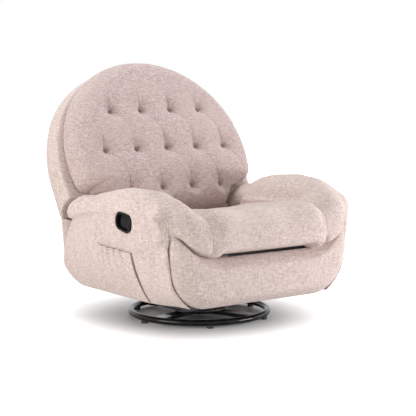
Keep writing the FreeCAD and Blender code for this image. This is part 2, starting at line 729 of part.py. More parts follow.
def loft(wires):
    solid = Part.makeLoft(wires, True, False)
    if not solid.isValid() or solid.Volume < 1:
        raise RuntimeError("a loft failed")
    return solid


def prism(corners, lift, along):
    """A straight solid on an outline."""
    return Part.Face(wire(corners, lift)).extrude(along)


def mirror_x(corners):
    """Completes a right half outline, listed from the lower middle round to the upper middle."""
    points = [corner[:2] for corner in corners]
    left = []
    for index in range(len(corners) - 1, 0, -1):
        before = corners[index - 1]
        spot = (-points[index][0], points[index][1])
        if len(before) == 3:
            left.append((*spot, (-before[2][0], before[2][1])))
        else:
            left.append(spot)
    head = list(corners[:-1]) + [points[-1]]
    tail = left + [(-points[0][0], points[0][1])]
    return head + tail


def bowed(spots):
    """Corners from (a, b, sag) spots: the edge after a spot bulges out by its sag, or is straight at 0."""
    corners = []
    for spot, after in zip(spots, spots[1:] + spots[:1]):
        if spot[2]:
            run = math.hypot(after[0] - spot[0], after[1] - spot[1])
            via = ((spot[0] + after[0]) / 2 + (after[1] - spot[1]) / run * spot[2],
                   (spot[1] + after[1]) / 2 - (after[0] - spot[0]) / run * spot[2])
            corners.append((spot[0], spot[1], via))
        else:
            corners.append((spot[0], spot[1]))
    return corners


# Footrest: plywood board and a padded panel with pointed upper corners
def panel_outline(inset):
    """The panel's outline, drawn in by an inset all round."""
    low = V.panel_bottom + inset
    side = V.panel_half - inset
    tip = V.panel_tip - inset * 1.4
    ease_in = inset * 0.3
    return mirror_x(bowed([
        (V.panel_foot - ease_in, low, V.panel_belly), (side - 10, low + V.panel_corner, 7.0),
        (side - 2, tip, 5.0), (side - V.panel_point, tip - 2, -V.panel_dip),
        (V.panel_flat - ease_in, V.panel_top - inset, 0.0)]))


def on_front(y):
    return lambda a, b: Vector(a, y, b)


board_front = -(V.board_back + V.board_thick)
board = prism(panel_outline(V.board_inset), on_front(-V.board_back), Vector(0, -V.board_thick, 0))
node(feature("board", board), "footrest_board")
pad_depth = V.panel_front + board_front
panel_layers = [(0.0, 4.0), (0.2, 0.0), (0.6, 9.0), (1.0, 40.0)]
panel = loft([wire(panel_outline(inset), on_front(board_front - V.soft_gap - share * pad_depth))
              for share, inset in panel_layers])
node(feature("panel", panel), "footrest_pad")

# Seat: rails, elastic webbing and a rolled cushion
rail_in = S.mech_inner - S.rail_width
for name, side in SIDES.items():
    rail = box("rail", S.rail_width, S.rail_front + S.rail_rear, S.rail_height)
    place(rail, rail_in if side > 0 else -S.mech_inner, -S.rail_front, S.mech_top)
    node(rail, f"seat_rail_{name}")
for label, y in (("seat_front_rail", -S.rail_front), ("seat_rear_rail", S.rail_rear - S.rail_width)):
    rail = box("cross_rail", rail_in * 2, S.rail_width, S.rail_height)
    node(place(rail, -rail_in, y, S.mech_top), label)

# Elastic straps from rail to rail, with cross straps laid over them
straps = []
strap_run = S.rail_front + S.rail_rear - S.rail_width
strap_step = rail_in * 2 / (SEAT_STRAPS + 1)
for index in range(SEAT_STRAPS):
    strap = box("strap", S.strap_width, strap_run, S.strap_thick)
    edge = strap_step * (index + 1) - rail_in - S.strap_width / 2
    straps.append(place(strap, edge, S.rail_width / 2 - S.rail_front, S.mech_top + S.rail_height))
cross_step = strap_run / (CROSS_STRAPS + 1)
for index in range(CROSS_STRAPS):
    strap = box("cross_strap", rail_in * 2 + S.rail_width, S.strap_width, S.strap_thick)
    edge = cross_step * (index + 1) - S.rail_front - S.strap_width / 2
    over = S.mech_top + S.rail_height + S.strap_thick
    straps.append(place(strap, -(rail_in + S.rail_width / 2), edge, over))
node(group("strap_set", straps), "seat_webbing")

rail_top = V.mech_top + V.rail_height
seat_base = rail_top + 2 * V.strap_thick + V.soft_gap


def seat_section(shrink):
    """The cushion's side profile: flat under the sitter, with a roll hanging down in front."""
    front = V.seat_front - shrink
    top = V.seat_top - shrink * 1.5
    low = V.seat_nose_low + shrink * 0.6
    rear = V.seat_rear - shrink
    roll = V.rail_front + 16 + shrink
    fall = V.seat_fall
    return [(rear - 6, seat_base), (-roll, seat_base), (-roll, low + 8),
            (-roll - 10, low, (-front + 18, low + 16)),
            (-front, low + V.seat_roll, (-front + 14, top - 32)),
            (-front + V.seat_crest, top - 4, (-170.0, top - fall * 0.42)),
            (rear - 34, top - fall, (rear, top - fall - 38))]


def panel_clearance():
    """The space that the footrest panel's upper edge sweeps as it tips out, wider towards the front."""
    rear = -(V.board_back + V.board_thick)
    stops = [(rear + V.side_skin * 2, V.panel_gap), (rear, V.panel_gap), (rear - V.sweep_near, V.sweep_rise),
             (rear - V.sweep_far, V.sweep_top)]
    space = None
    for (start, gap), (end, wide) in zip(stops, stops[1:]):
        run = loft([wire(panel_outline(-gap), on_front(start)), wire(panel_outline(-wide), on_front(end))])
        space = space.fuse(run) if space else run
    side = V.panel_half - V.panel_point
    for (start, gap), (end, wide) in zip(stops[1:], stops[2:]):
        first = min(start, -V.cheek_front - V.soft_gap)
        flank = loft([wire(flank_corners(side, gap), on_front(first)),
                      wire(flank_corners(side, wide), on_front(end))])
        space = space.fuse(flank)
    return space


def flank_corners(side, gap):
    """The region beside a footrest panel's pointed corner, up to its tip and a gap."""
    ceiling = V.panel_tip + gap * 1.4
    return [(side, 0.0), (side + FAR, 0.0), (side + FAR, ceiling), (side, ceiling)]


def across_seat(x):
    return lambda a, b: Vector(x, a, b)


seat_layers = [(1.0, 10.0), (0.95, 2.5), (0.5, 0.8), (0.0, 0.0)]
seat_sides = [(-share * V.seat_half, shrink) for share, shrink in seat_layers]
seat_sides += [(share * V.seat_half, shrink) for share, shrink in reversed(seat_layers[:-1])]
cushion = loft([wire(seat_section(shrink), across_seat(x)) for x, shrink in seat_sides])
panel_space = panel_clearance()
node(feature("seat", cushion.cut(panel_space).removeSplitter()), "seat_cushion")


# Arms: plywood frame, base rail, inner panel, outer side panel and rolled pad
def deck_corners(front, rear, bottom, drop):
    """A side view region under the deck line, between a front edge and a rear edge."""
    crest = (-V.deck_crest_y, V.deck_crest - drop)
    return [(-front, bottom), (-front, deck_height(front) - drop, crest), (rear, deck_height(-rear) - drop)]


def deck_circle():
    arc = Part.Arc(Vector(0, -V.deck_front_y, V.deck_front), Vector(0, -V.deck_crest_y, V.deck_crest),
                   Vector(0, V.deck_rear_y, V.deck_rear))
    return arc.toShape().Curve


def deck_height(front):
    """Height of the deck line at a distance in front of the swivel axis."""
    curve = deck_circle()
    return curve.Center.z + math.sqrt(curve.Radius ** 2 - (front + curve.Center.y) ** 2)


def side_view(front, inset, drop):
    """Outline of an arm's side, from its front edge to its sloping tail and heel."""
    bottom = V.body_bottom + inset
    deck_end = V.deck_rear_y - inset
    tail = V.side_tail_y - inset
    return [(-front, bottom), (-front, deck_height(front) - drop, (-V.deck_crest_y, V.deck_crest - drop)),
            (deck_end, deck_height(-deck_end) - drop,
             (deck_end + V.tail_swell, V.side_tail_z + V.tail_shoulder)),
            (tail, V.side_tail_z, (tail - 10, V.side_tail_z - V.tail_swell)),
            (V.side_heel_y - inset, bottom)]


def side_arc(inset, turn=0.0):
    """Front view of the side's skin at a depth below its surface: foot, belly and shoulder.

    Turn goes from 0 on the straight side to 1 at the front edge, where the skin closes on the footrest panel.
    """
    def between(straight, front):
        return straight + (front - straight) * turn
    foot = (between(V.side_foot, V.cheek_foot) - inset, V.body_bottom)
    belly = (between(V.side_belly, V.cheek_belly) - inset, V.belly_z)
    shoulder_x = between(V.arm_outer - V.side_tuck, V.cheek_shoulder) - inset
    return foot, belly, (shoulder_x, between(V.shoulder_z, V.cheek_top))


def skin_height_to_x(z):
    """How far out the side's surface stands at a height."""
    curve = Part.Arc(*[Vector(x, 0, height) for x, height in side_arc(0.0)]).toShape().Curve
    return curve.Center.x + math.sqrt(curve.Radius ** 2 - (z - curve.Center.z) ** 2)


def skin_section(outer, inner):
    return [(*outer[0], outer[1]), outer[2], (*inner[2], inner[1]), inner[0]]


def cheek_section(turn):
    """The side's whole front view, from the plywood to the skin."""
    foot, belly, shoulder = side_arc(0.0, turn)
    inner = V.ply_inner + V.ply_thick + V.soft_gap
    return [(inner, foot[1]), (*foot, belly), shoulder, (inner, shoulder[1])]


def swing_tool(radius):
    """A drum about the back's hinge axis."""
    return Part.makeCylinder(radius, 2 * FAR, Vector(-FAR, V.hinge_y, V.hinge_z), Vector(1, 0, 0))


def arm_section(y, inner, outer, low, top, crown):
    """The rolled pad's section: a flat underside, a full outer cheek and a softer inner one."""
    middle = low + (top - low) * 0.52
    corners = [(inner, low), (outer - 12, low, (outer, middle)), (crown, top, (inner + 14, middle + 16))]
    return wire(corners, on_front(y))


def arm_pad_shape():
    """The rolled top with its hanging front end, cut clear of the deck, the footrest panel and the back."""
    low = V.deck_rear - 40
    inner = V.arm_inner
    outer = V.arm_outer
    top = V.arm_top
    roll = loft([arm_section(V.arm_rear, inner + 10, outer - 40, low, top - 90, 395.0),
                 arm_section(130.0, inner, outer - 12, low, top - 42, 402.0),
                 arm_section(-40.0, inner, outer, low, top - 4, 406.0),
                 arm_section(-150.0, inner, outer, low, top - 2, 402.0),
                 arm_section(-290.0, inner, outer - V.arm_taper * 0.4, low, top - 34, 390.0),
                 arm_section(-V.nose_back, inner, outer - V.arm_taper, low, top - V.nose_drop, V.nose_crown)])
    under = deck_corners(V.nose_back + 20, V.arm_rear + 78, low - 60, 0.0)
    roll = roll.cut(prism(under, across_seat(0.0), Vector(FAR, 0, 0)))
    nose = loft([nose_section(V.nose_back, 0.0), nose_section(V.nose_back + 34, 6.0),
                 nose_section(V.arm_front - 12, 24.0), nose_section(V.arm_front, 46.0)])
    behind = Part.makeBox(FAR, FAR, FAR, Vector(0, V.arm_stop, 0)).cut(swing_tool(V.swing_inner))
    passage = Part.makeBox(V.mech_inner + V.mech_thick, FAR, FAR, Vector(0, V.passage_rear, 0))
    sitting = Part.makeBox(V.seat_half + V.soft_gap, 2 * FAR, FAR, Vector(0, -FAR, 0))
    shape = roll.fuse(nose).cut(behind).cut(passage).cut(sitting).cut(panel_space)
    return shape.removeSplitter()


def nose_section(front, inset):
    """The arm's front end: from under the seat's front roll up and out to the arm's outer cheek."""
    inner = V.arm_inner + V.nose_step + inset * 0.15
    outer = V.arm_outer - V.arm_taper - inset * 1.5
    top = V.arm_top - V.nose_drop - inset
    low = V.seat_nose_low - 2 + inset * 0.5
    crown = V.nose_crown - inset * 0.5
    corners = [(inner, low), (outer - 40, low, (outer, top - 70)), (crown, top, (inner + 8, top - 58))]
    return wire(corners, on_front(-front))


def mirrored(shape, side):
    return shape if side > 0 else shape.mirror(Vector(0, 0, 0), Vector(1, 0, 0))


def side_panel_shape():
    """The padded skin, its closing curve in front and the return wall behind the footrest panel."""
    cheek_run = V.cheek_front - V.cheek_rear
    turns = [(0.0, 0.0), (0.3, 0.1), (0.6, 0.4), (0.84, 0.74), (1.0, 1.0)]
    stations = [(on_front(-V.cheek_rear - share * cheek_run), turn) for share, turn in turns]
    section = skin_section(side_arc(0.0), side_arc(V.side_skin))
    straight = prism(section, on_front(FAR), Vector(0, -FAR - V.cheek_rear, 0))
    front = loft([wire(skin_section(side_arc(0.0, turn), side_arc(V.side_skin, turn)), lift)
                  for lift, turn in stations])
    cheek = loft([wire(cheek_section(turn), lift) for lift, turn in stations])
    wall_y = -V.board_back + V.wall_setback
    wall = cheek.common(Part.makeBox(FAR, V.side_skin, FAR, Vector(0, wall_y, 0)))
    notch = Part.makeBox(V.base_rail_width + 1, 2 * FAR, V.base_rail_height + 1,
                         Vector(ply_outer - 1, -FAR, V.body_bottom + V.base_rail_lift - 0.5))
    skin = straight.fuse(front).fuse(wall.cut(notch))
    skin = skin.common(prism(side_view(V.cheek_front, 0.0, V.soft_gap), across_seat(0.0), Vector(FAR, 0, 0)))
    room = prism(panel_outline(-V.cheek_gap), on_front(wall_y - V.soft_gap), Vector(0, -FAR, 0))
    return skin.cut(room).removeSplitter()


pad_shape = arm_pad_shape()
ply_outer = V.ply_inner + V.ply_thick
ply_front = V.side_front - V.ply_setback
ply_view = side_view(ply_front, V.ply_inset, V.soft_gap)
ply = prism(ply_view, across_seat(V.ply_inner), Vector(V.ply_thick, 0, 0))
for index in range(PLY_WINDOWS):
    window_y = index * V.window_step - V.window_front - V.ply_window / 2
    window = Part.makeBox(V.ply_thick * 3, V.ply_window, V.ply_window,
                          Vector(V.ply_inner - V.ply_thick, window_y, V.window_low))
    ply = ply.cut(window)
skin = side_panel_shape()
inner_view = deck_corners(V.side_front, V.inner_rear, seat_base, V.soft_gap) + [(V.inner_rear, seat_base)]
inner_panel = prism(inner_view, across_seat(V.arm_inner), Vector(V.ply_inner - V.arm_inner, 0, 0))
spacers = []
base_rails = []
for name, side in SIDES.items():
    node(feature(f"ply_{name}", mirrored(ply, side)), f"arm_frame_{name}")
    node(feature(f"inner_{name}", mirrored(inner_panel, side)), f"arm_inner_panel_{name}")
    rail_start = S.side_front - S.ply_setback
    rail_run = rail_start + S.side_heel_y - S.base_rail_rear
    rail = box("base_rail", S.base_rail_width, rail_run, S.base_rail_height)
    rail_x = S.ply_inner + S.ply_thick
    rail_near = rail_x if side > 0 else -(rail_x + S.base_rail_width)
    base_rails.append(place(rail, rail_near, -rail_start, S.body_bottom + S.base_rail_lift))
    for spot_y, spot_z in SPACER_SPOTS:
        post = cylinder("spacer", S.spacer_radius, S.ply_inner - S.mech_inner - S.mech_thick)
        start = S.mech_inner + S.mech_thick
        spacers.append(place(post, start if side > 0 else -S.ply_inner, spot_y, spot_z, Vector(0, 1, 0), 90))
node(group("spacer_set", spacers), "arm_spacers")
node(group("base_rail_pair", base_rails), "arm_base_rails")

# Release handle: a recessed cup, its lever and pin
face_x = V.bezel_proud - skin_height_to_x(V.handle_z) - V.bezel_lip
handle_middle = Vector(0, -V.handle_y, V.handle_z)


def tilted(shape):
    """Turns a piece of the handle so that its front end hangs lower."""
    return shape.rotated(handle_middle, Vector(1, 0, 0), V.handle_tilt)


def rounded_bar(x, depth, inset):
    """A round-cornered block of the handle's outline, from x towards the chair."""
    length = V.bezel_length - 2 * inset
    height = V.bezel_height - 2 * inset
    block = Part.makeBox(depth, length, height, Vector(x, -V.handle_y - length / 2, V.handle_z - height / 2))
    edges = [edge for edge in block.Edges if abs(edge.tangentAt(edge.FirstParameter).x) > 0.9]
    return tilted(block.makeFillet(V.bezel_round - inset, edges))


cup_wall = V.bezel_wall + V.bezel_lip
cup_back = face_x + V.bezel_lip + V.bezel_depth
lip = rounded_bar(face_x, V.bezel_lip, 0.0)
cup = rounded_bar(face_x + V.bezel_lip, V.bezel_depth, V.bezel_wall)
hollow = rounded_bar(face_x - V.bezel_depth, cup_back - V.bezel_lip - face_x + V.bezel_depth, cup_wall)
lever_x = face_x + V.bezel_depth / 2
lever_y = -V.handle_y - V.bezel_length / 2 + cup_wall + V.lever_setback
cup_round = V.bezel_round - cup_wall
cup_half = V.bezel_height / 2 - V.bezel_round + math.sqrt(cup_round ** 2 - (cup_round - V.lever_setback) ** 2)
lever_half = cup_half - V.lever_play
pin_axis = Vector(lever_x, lever_y, V.handle_z)
pin_length = 2 * cup_half + V.bezel_wall
pin = tilted(Part.makeCylinder(V.lever_pin, pin_length, pin_axis - Vector(0, 0, pin_length / 2)))
bezel = lip.fuse(cup).cut(hollow).removeSplitter()
bezel = bezel.cut(pin)
node(feature("bezel", bezel), "handle_bezel")
node(feature("lever_pin_solid", pin), "handle_pin")
paddle = Part.makeBox(V.lever_thick, V.lever_length, 2 * lever_half,
                      Vector(lever_x - V.lever_thick / 2, lever_y, V.handle_z - lever_half))
tip_edges = [edge for edge in paddle.Edges
             if abs(edge.tangentAt(edge.FirstParameter).x) > 0.9 and edge.CenterOfMass.y > lever_y + 1]
paddle = paddle.makeFillet(lever_half * 0.7, tip_edges)
barrel = Part.makeCylinder(V.lever_pin + V.lever_barrel, 2 * lever_half, pin_axis - Vector(0, 0, lever_half))
lever = paddle.fuse(barrel)
bore_radius = V.lever_pin + V.running_clearance
lever = lever.cut(Part.makeCylinder(bore_radius, pin_length, pin_axis - Vector(0, 0, pin_length / 2)))
node(feature("lever", tilted(lever.removeSplitter())), "handle_lever")


def cord(points, radius):
    """A round cord through points, with an arc as large as its two runs allow at each turn."""
    curves = []
    radii = []
    start = points[0]
    for before, spot, after in zip(points, points[1:], points[2:]):
        one = before - spot
        two = after - spot
        trim = 0.45 * min(one.Length, two.Length)
        turn = math.pi - one.getAngle(two)
        radii.append(trim / math.tan(turn / 2))
        one.normalize()
        two.normalize()
        enter = spot + one * trim
        leave = spot + two * trim
        curves.append(Part.LineSegment(start, enter))
        curves.append(arc_from(enter, one * -1, leave))
        start = leave
    curves.append(Part.LineSegment(start, points[-1]))
    print("cable radii", [round(value) for value in radii])
    return tube(curves, radius)


cable_start = cup_back + V.cable_radius * 0.35
cable_end = -(V.mech_inner + V.mech_thick) - V.cable_radius * 0.5
cable_route = [Vector(cable_start, -171, 427), Vector(-424, -168, 413), Vector(-386, -162, 380),
               Vector(-356, -155, 336), Vector(-332, -148, 290), Vector(-312, -143, 262),
               Vector(cable_end, -141, 250)]
node(feature("cable", cord(cable_route, V.cable_radius)), "release_cable")
handle_hole = rounded_bar(-FAR, FAR + V.ply_inner - V.arm_outer, V.bezel_wall - V.soft_gap)
lip_room = rounded_bar(-FAR, FAR + face_x + V.bezel_lip + V.soft_gap, -V.soft_gap)
right_pad = mirrored(pad_shape, -1).cut(handle_hole).cut(lip_room)
right_skin = mirrored(skin, -1).cut(handle_hole).cut(lip_room)
node(feature("pad_left", pad_shape), "arm_pad_left")
node(feature("pad_right", right_pad), "arm_pad_right")
node(feature("side_left", skin), "side_panel_left")
node(feature("side_right", right_skin), "side_panel_right")

# Side pocket: a cloth front that stands off the side panel and is sewn to it round its edge
gap_outer = side_arc(-V.pocket_depth)
gap_inner = side_arc(-V.pocket_depth + V.pocket_skin)
touch = side_arc(-V.soft_gap)


def skin_between(outer, inner):
    return prism(skin_section(outer, inner), on_front(FAR / 2), Vector(0, -FAR, 0))


def pocket_block(inset, lift):
    """The pocket's side view: a sloping hem, and a rear seam that runs back towards the foot."""
    front = -V.pocket_front + inset
    foot = V.pocket_foot + inset
    return prism([(front, foot), (front, V.pocket_top + lift),
                  (V.pocket_rear - inset, V.pocket_top + V.pocket_rise + lift),
                  (V.pocket_tail - inset, foot)], across_seat(0.0), Vector(FAR, 0, 0))


bag = skin_between(gap_outer, touch).common(pocket_block(0.0, 0.0))
room = skin_between(gap_inner, side_arc(0.0)).common(pocket_block(V.pocket_skin, V.pocket_top))
node(feature("pocket_cloth", mirrored(bag.cut(room), -1)), "side_pocket")

# Back: frame, brackets, tufted cushion, buttons, shell and skirt
lean = math.radians(V.back_lean)
tuft_centre = Vector(0, V.tuft_y, V.tuft_z)
back_up = Vector(0, math.sin(lean), math.cos(lean))
back_out = Vector(0, -math.cos(lean), math.sin(lean))


def back_point(x, up, out):
    """A point of the back, from the middle button: across, up its slope and out of its face."""
    return tuft_centre + Vector(x, 0, 0) + back_up * up + back_out * out


def on_back(out):
    return lambda a, b: back_point(a, b, out)


def cushion_outline(inset):
    """A big round head on sloping shoulders that narrow to pass between the arms."""
    radius = V.cushion_radius - inset
    centre = V.cushion_centre
    low = V.cushion_shoulder + inset * 0.3
    edge = math.sqrt(radius ** 2 - (low - centre) ** 2)
    slope = math.radians(38)
    head = (radius * math.cos(slope), centre + radius * math.sin(slope))
    top = centre + radius
    foot = V.cushion_foot + inset
    foot_half = V.cushion_foot_half - inset * 0.5
    return mirror_x([
        (foot_half, foot), (foot_half + 12, foot + 12 + inset * 0.3),
        (edge - 52, low - 42, (edge - 8, low - 24)), (edge, low, head), (radius * 0.02, top)])


def shell_outline(inset):
    radius = V.shell_radius - inset
    centre = V.shell_centre
    low = V.shell_low
    slope = math.radians(36)
    head = (radius * math.cos(slope), centre + radius * math.sin(slope))
    top = centre + radius - 8
    return mirror_x([(radius * 0.97, low), (radius * 0.998, centre - 20, head), (radius * 0.12, top)])


def box_on_back(half, low, high, near, far):
    """A block in the back's own directions."""
    face = wire([(-half, low), (half, low), (half, high), (-half, high)], on_back(near))
    return Part.Face(face).extrude(back_out * (far - near))


def outside(inner_x):
    """Both side regions beyond a distance from the middle."""
    one = Part.makeBox(FAR, 2 * FAR, 2 * FAR, Vector(inner_x, -FAR, 0))
    return one.fuse(one.mirror(Vector(0, 0, 0), Vector(1, 0, 0)))


post_out = V.mech_inner - V.link_gap - V.bracket_thick
wing_clear = outside(V.arm_inner - 2).common(swing_tool(V.swing_outer))
layers = [(-V.cushion_back, 12.0), (-V.cushion_back * 0.8, 0.0), (-V.cushion_back * 0.3, 6.0),
          (V.cushion_front * 0.45, 34.0), (V.cushion_front, 96.0)]
back_pad = loft([wire(cushion_outline(inset), on_back(out)) for out, inset in layers])
back_pad = back_pad.cut(wing_clear)
tufts = []
buttons = []
for row_number, across_count in ((1, 4), (0, 5), (-1, 4)):
    for index in range(across_count):
        across = (index - (across_count - 1) / 2) * V.tuft_pitch
        up = row_number * V.tuft_row
        bottom = V.cushion_front - V.tuft_depth
        tufts.append(Part.makeSphere(V.tuft_round, back_point(across, up, bottom + V.tuft_round),
                                    back_out))
        buttons.append(Part.makeCylinder(V.button_radius, V.button_height,
                                         back_point(across, up, bottom + 2.4), back_out))
back_pad = back_pad.cut(Part.makeCompound(tufts))
node(feature("back_pad", back_pad), "back_cushion")
node(feature("button_set", Part.makeCompound(buttons)), "tuft_buttons")

shell_face = -V.cushion_back - V.soft_gap
shell_depth = V.shell_back - V.cushion_back
shell_top = V.shell_centre + V.shell_radius


def on_shell(share):
    """A plane across the shell, at a share of its depth, which grows towards the foot by the flare."""
    def lift(a, b):
        flare = V.shell_flare * (shell_top - b) / (shell_top - V.shell_low)
        return back_point(a, b, shell_face - share * (shell_depth + flare))
    return lift


shell_layers = [(0.0, 12.0), (0.45, 0.0), (0.8, 6.0), (1.0, 56.0)]
shell = loft([wire(shell_outline(inset), on_shell(share)) for share, inset in shell_layers])
frame_back = shell_face - V.frame_thick
recess_half = post_out + V.bracket_thick + 1
recess = box_on_back(recess_half, V.shell_low - 90, V.frame_top + 6, frame_back - V.soft_gap, shell_face + 5)
tail = math.tan(math.radians(V.shell_lift))
below = prism([(0.0, 0.0), (FAR, 0.0), (FAR, V.hinge_z + (FAR - V.hinge_y) * tail),
               (0.0, V.hinge_z - V.hinge_y * tail)], across_seat(-FAR), Vector(2 * FAR, 0, 0))
shell = shell.cut(recess).cut(wing_clear).cut(below)
node(feature("shell", shell), "back_shell")

rails_up = (V.frame_top - V.post_width, 20.0, -230.0)
posts = [box_on_back(V.post_width / 2, V.frame_low, V.frame_top, frame_back, shell_face - 0.2).translated(
    Vector(across * (post_out - V.post_width / 2), 0, 0)) for across in (-1, 1)]
cross_rails = [box_on_back(post_out - V.post_width, up, up + V.post_width, frame_back, shell_face - 0.2)
               for up in rails_up]
node(feature("back_rails", Part.makeCompound(posts + cross_rails)), "back_frame")
hinge_plates = []
hinge_pins = []
for name, side in SIDES.items():
    plate = new_body(f"hinge_{name}")
    face = new_sketch(plate, "YZ_Plane")
    ear = S.hinge_pin * 3
    side_low = back_point(0, V.bracket_top, frame_back)
    side_high = back_point(0, V.bracket_top, shell_face - V.soft_gap)
    side_foot = back_point(0, V.cushion_foot - V.bracket_drop, shell_face - V.soft_gap)
    ear_way = Vector(0, math.cos(lean), -math.sin(lean))
    rear_spot = Vector(0, V.hinge_y, V.hinge_z) + ear_way * float(ear)
    front_spot = Vector(0, V.hinge_y, V.hinge_z) - ear_way * float(ear)
    low_spot = Vector(0, V.hinge_y, V.hinge_z) - back_up * float(ear)
    outline(face, [(rear_spot.y, rear_spot.z), (side_low.y, side_low.z), (side_high.y, side_high.z),
                   (side_foot.y, side_foot.z), (front_spot.y, front_spot.z, (low_spot.y, low_spot.z))])
    circle(face, (S.hinge_y, S.hinge_z), S.hinge_pin + S.running_clearance)
    pad(plate, face, S.bracket_thick)
    near = S.mech_inner - S.link_gap - S.bracket_thick
    place(plate, near if side > 0 else -(near + S.bracket_thick), 0, 0)
    hinge_plates.append(plate)
    pin_long = S.mech_thick + S.link_gap + S.bracket_thick - S.soft_gap + 2.0
    hinge = cylinder("hinge", S.hinge_pin, pin_long)
    start = S.mech_inner - S.link_gap - S.bracket_thick + S.soft_gap
    place(hinge, start if side > 0 else -(start + pin_long), S.hinge_y, S.hinge_z, Vector(0, 1, 0), 90)
    hinge_pins.append(hinge)
node(group("hinge_plate_pair", hinge_plates), "back_brackets")
node(group("hinge_pin_pair", hinge_pins), "back_hinge_pins")

# Skirt: a cloth flap that hangs from the shell's lower edge, with soft vertical folds
rim_out = V.shell_back + V.shell_flare * 0.9 - V.skirt_thick - 1
rim_drop = V.hinge_z - V.hinge_y * tail - V.tuft_z
rim_run = rim_out + V.tuft_y * math.cos(lean) + rim_drop * math.sin(lean)
skirt_top_y = rim_run / (math.cos(lean) - tail * math.sin(lean))
skirt_top = V.hinge_z + (skirt_top_y - V.hinge_y) * tail - V.soft_gap
skirt_half = V.shell_radius * V.skirt_share


def skirt_wire(z, swell):
    """The flap's section: a shallow wave across, of even thickness."""
    width = 2 * skirt_half / SKIRT_FOLDS
    corners = []
    for index in range(SKIRT_FOLDS):
        start = -skirt_half + index * width
        bulge = swell if index % 2 else -swell
        corners.append((start, skirt_top_y, (start + width / 2, skirt_top_y + bulge)))
    corners.append((skirt_half, skirt_top_y))
    rear = skirt_top_y + V.skirt_thick
    for index in range(SKIRT_FOLDS - 1, -1, -1):
        start = -skirt_half + index * width
        bulge = swell if index % 2 else -swell
        corners.append((start + width, rear, (start + width / 2, rear + bulge)))
    corners.append((-skirt_half, rear))
    return wire(corners, lambda a, b: Vector(a, b, z))


skirt = loft([skirt_wire(skirt_top, 1.5), skirt_wire(skirt_top - V.skirt_drop / 2, 5.0),
              skirt_wire(skirt_top - V.skirt_drop, 8.0)])
node(feature("skirt", skirt), "back_skirt")

doc.recompute()
for thing in doc.Objects:
    if any(state in ("Invalid", "Error") for state in thing.State):
        raise RuntimeError(f"{thing.Label} failed: {thing.State}")
for label, thing in nodes.items():
    if thing.Shape.isNull() or not thing.Shape.isValid() or not thing.Shape.Solids:
        raise RuntimeError(f"{label} has no valid solid")

os.makedirs("parts", exist_ok=True)
for label, thing in nodes.items():
    thing.Shape.exportStep(f"parts/{label}.step")
print(len(nodes), "nodes")
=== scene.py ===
# %% [markdown]
# # Swivel rocker recliner
# The chair is one large upholstered form on a black ring foot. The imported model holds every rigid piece
# at its true size. This lesson dresses it: soft covers grown from the plain foam solids, a tufted back,
# a gathered pocket and the finishes of cloth, enamel, plastic, steel and wood.

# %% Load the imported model
import bpy
import bmesh
import json
import math
import numpy as np
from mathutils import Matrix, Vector
from mathutils.bvhtree import BVHTree


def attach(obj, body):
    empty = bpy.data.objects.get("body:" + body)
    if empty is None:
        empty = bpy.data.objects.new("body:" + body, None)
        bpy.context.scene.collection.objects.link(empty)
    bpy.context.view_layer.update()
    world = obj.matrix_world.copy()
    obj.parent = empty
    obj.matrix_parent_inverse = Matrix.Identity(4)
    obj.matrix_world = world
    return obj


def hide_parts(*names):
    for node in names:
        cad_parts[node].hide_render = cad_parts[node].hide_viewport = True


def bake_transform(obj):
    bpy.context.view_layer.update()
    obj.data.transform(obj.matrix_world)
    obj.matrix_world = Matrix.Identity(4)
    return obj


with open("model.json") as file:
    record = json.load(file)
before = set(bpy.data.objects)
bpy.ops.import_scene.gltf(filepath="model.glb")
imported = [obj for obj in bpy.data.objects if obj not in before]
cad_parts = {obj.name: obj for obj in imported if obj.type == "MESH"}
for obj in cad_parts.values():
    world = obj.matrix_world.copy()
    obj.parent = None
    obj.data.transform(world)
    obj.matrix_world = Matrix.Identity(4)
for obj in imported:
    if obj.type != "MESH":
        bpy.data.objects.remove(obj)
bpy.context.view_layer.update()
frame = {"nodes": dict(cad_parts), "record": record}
scene = bpy.context.scene
scene.view_settings.view_transform = "Standard"
MM = 0.001

# %% [markdown]
# ## Camera
# A product photograph is taken from far off with a long lens, here from a little above arm height, so
# the chair shows almost no perspective. A camera could be placed by eye. Here its place and its lens
# come from matching the ring foot and the outline of the back, which fixes both at once.

# %% Camera
camera_data = bpy.data.cameras.new("camera")
camera_data.lens = 108.3
camera_data.sensor_width = 36.0
camera = bpy.data.objects.new("camera", camera_data)
scene.collection.objects.link(camera)
camera_spot = Vector((-2.969, -4.056, 0.980))
camera_aim = Vector((0.0281, -0.0913, 0.4316))
camera.location = camera_spot
camera.rotation_euler = (camera_aim - camera_spot).to_track_quat("-Z", "Y").to_euler()
scene.camera = camera
print("camera distance", round((camera_aim - camera_spot).length, 3))

# %% [markdown]
# ## Studio
# The photograph has a white sweep, a large soft lamp on the chair's handle side, a weaker one on the
# other side and an even sky. The floor is a pale matt sheet that keeps the chair's shadow. Away from the
# chair it also glows to camera rays alone, a painted light that lifts it to white; the glow fades out
# towards the chair, so the floor round the chair is darker partly by this painted shade and partly by
# its real shadow. To a camera ray and in reflections the world is plain white, and to the chair's matt
# cloth it is a soft grey sky. One world with two levels keeps the background clean without more lamps.


# %% Floor
def material(name):
    made = bpy.data.materials.new(name)
    made.use_nodes = True
    tree = made.node_tree
    return made, tree, tree.nodes["Principled BSDF"]


def link(tree, source, target):
    tree.links.new(source, target)
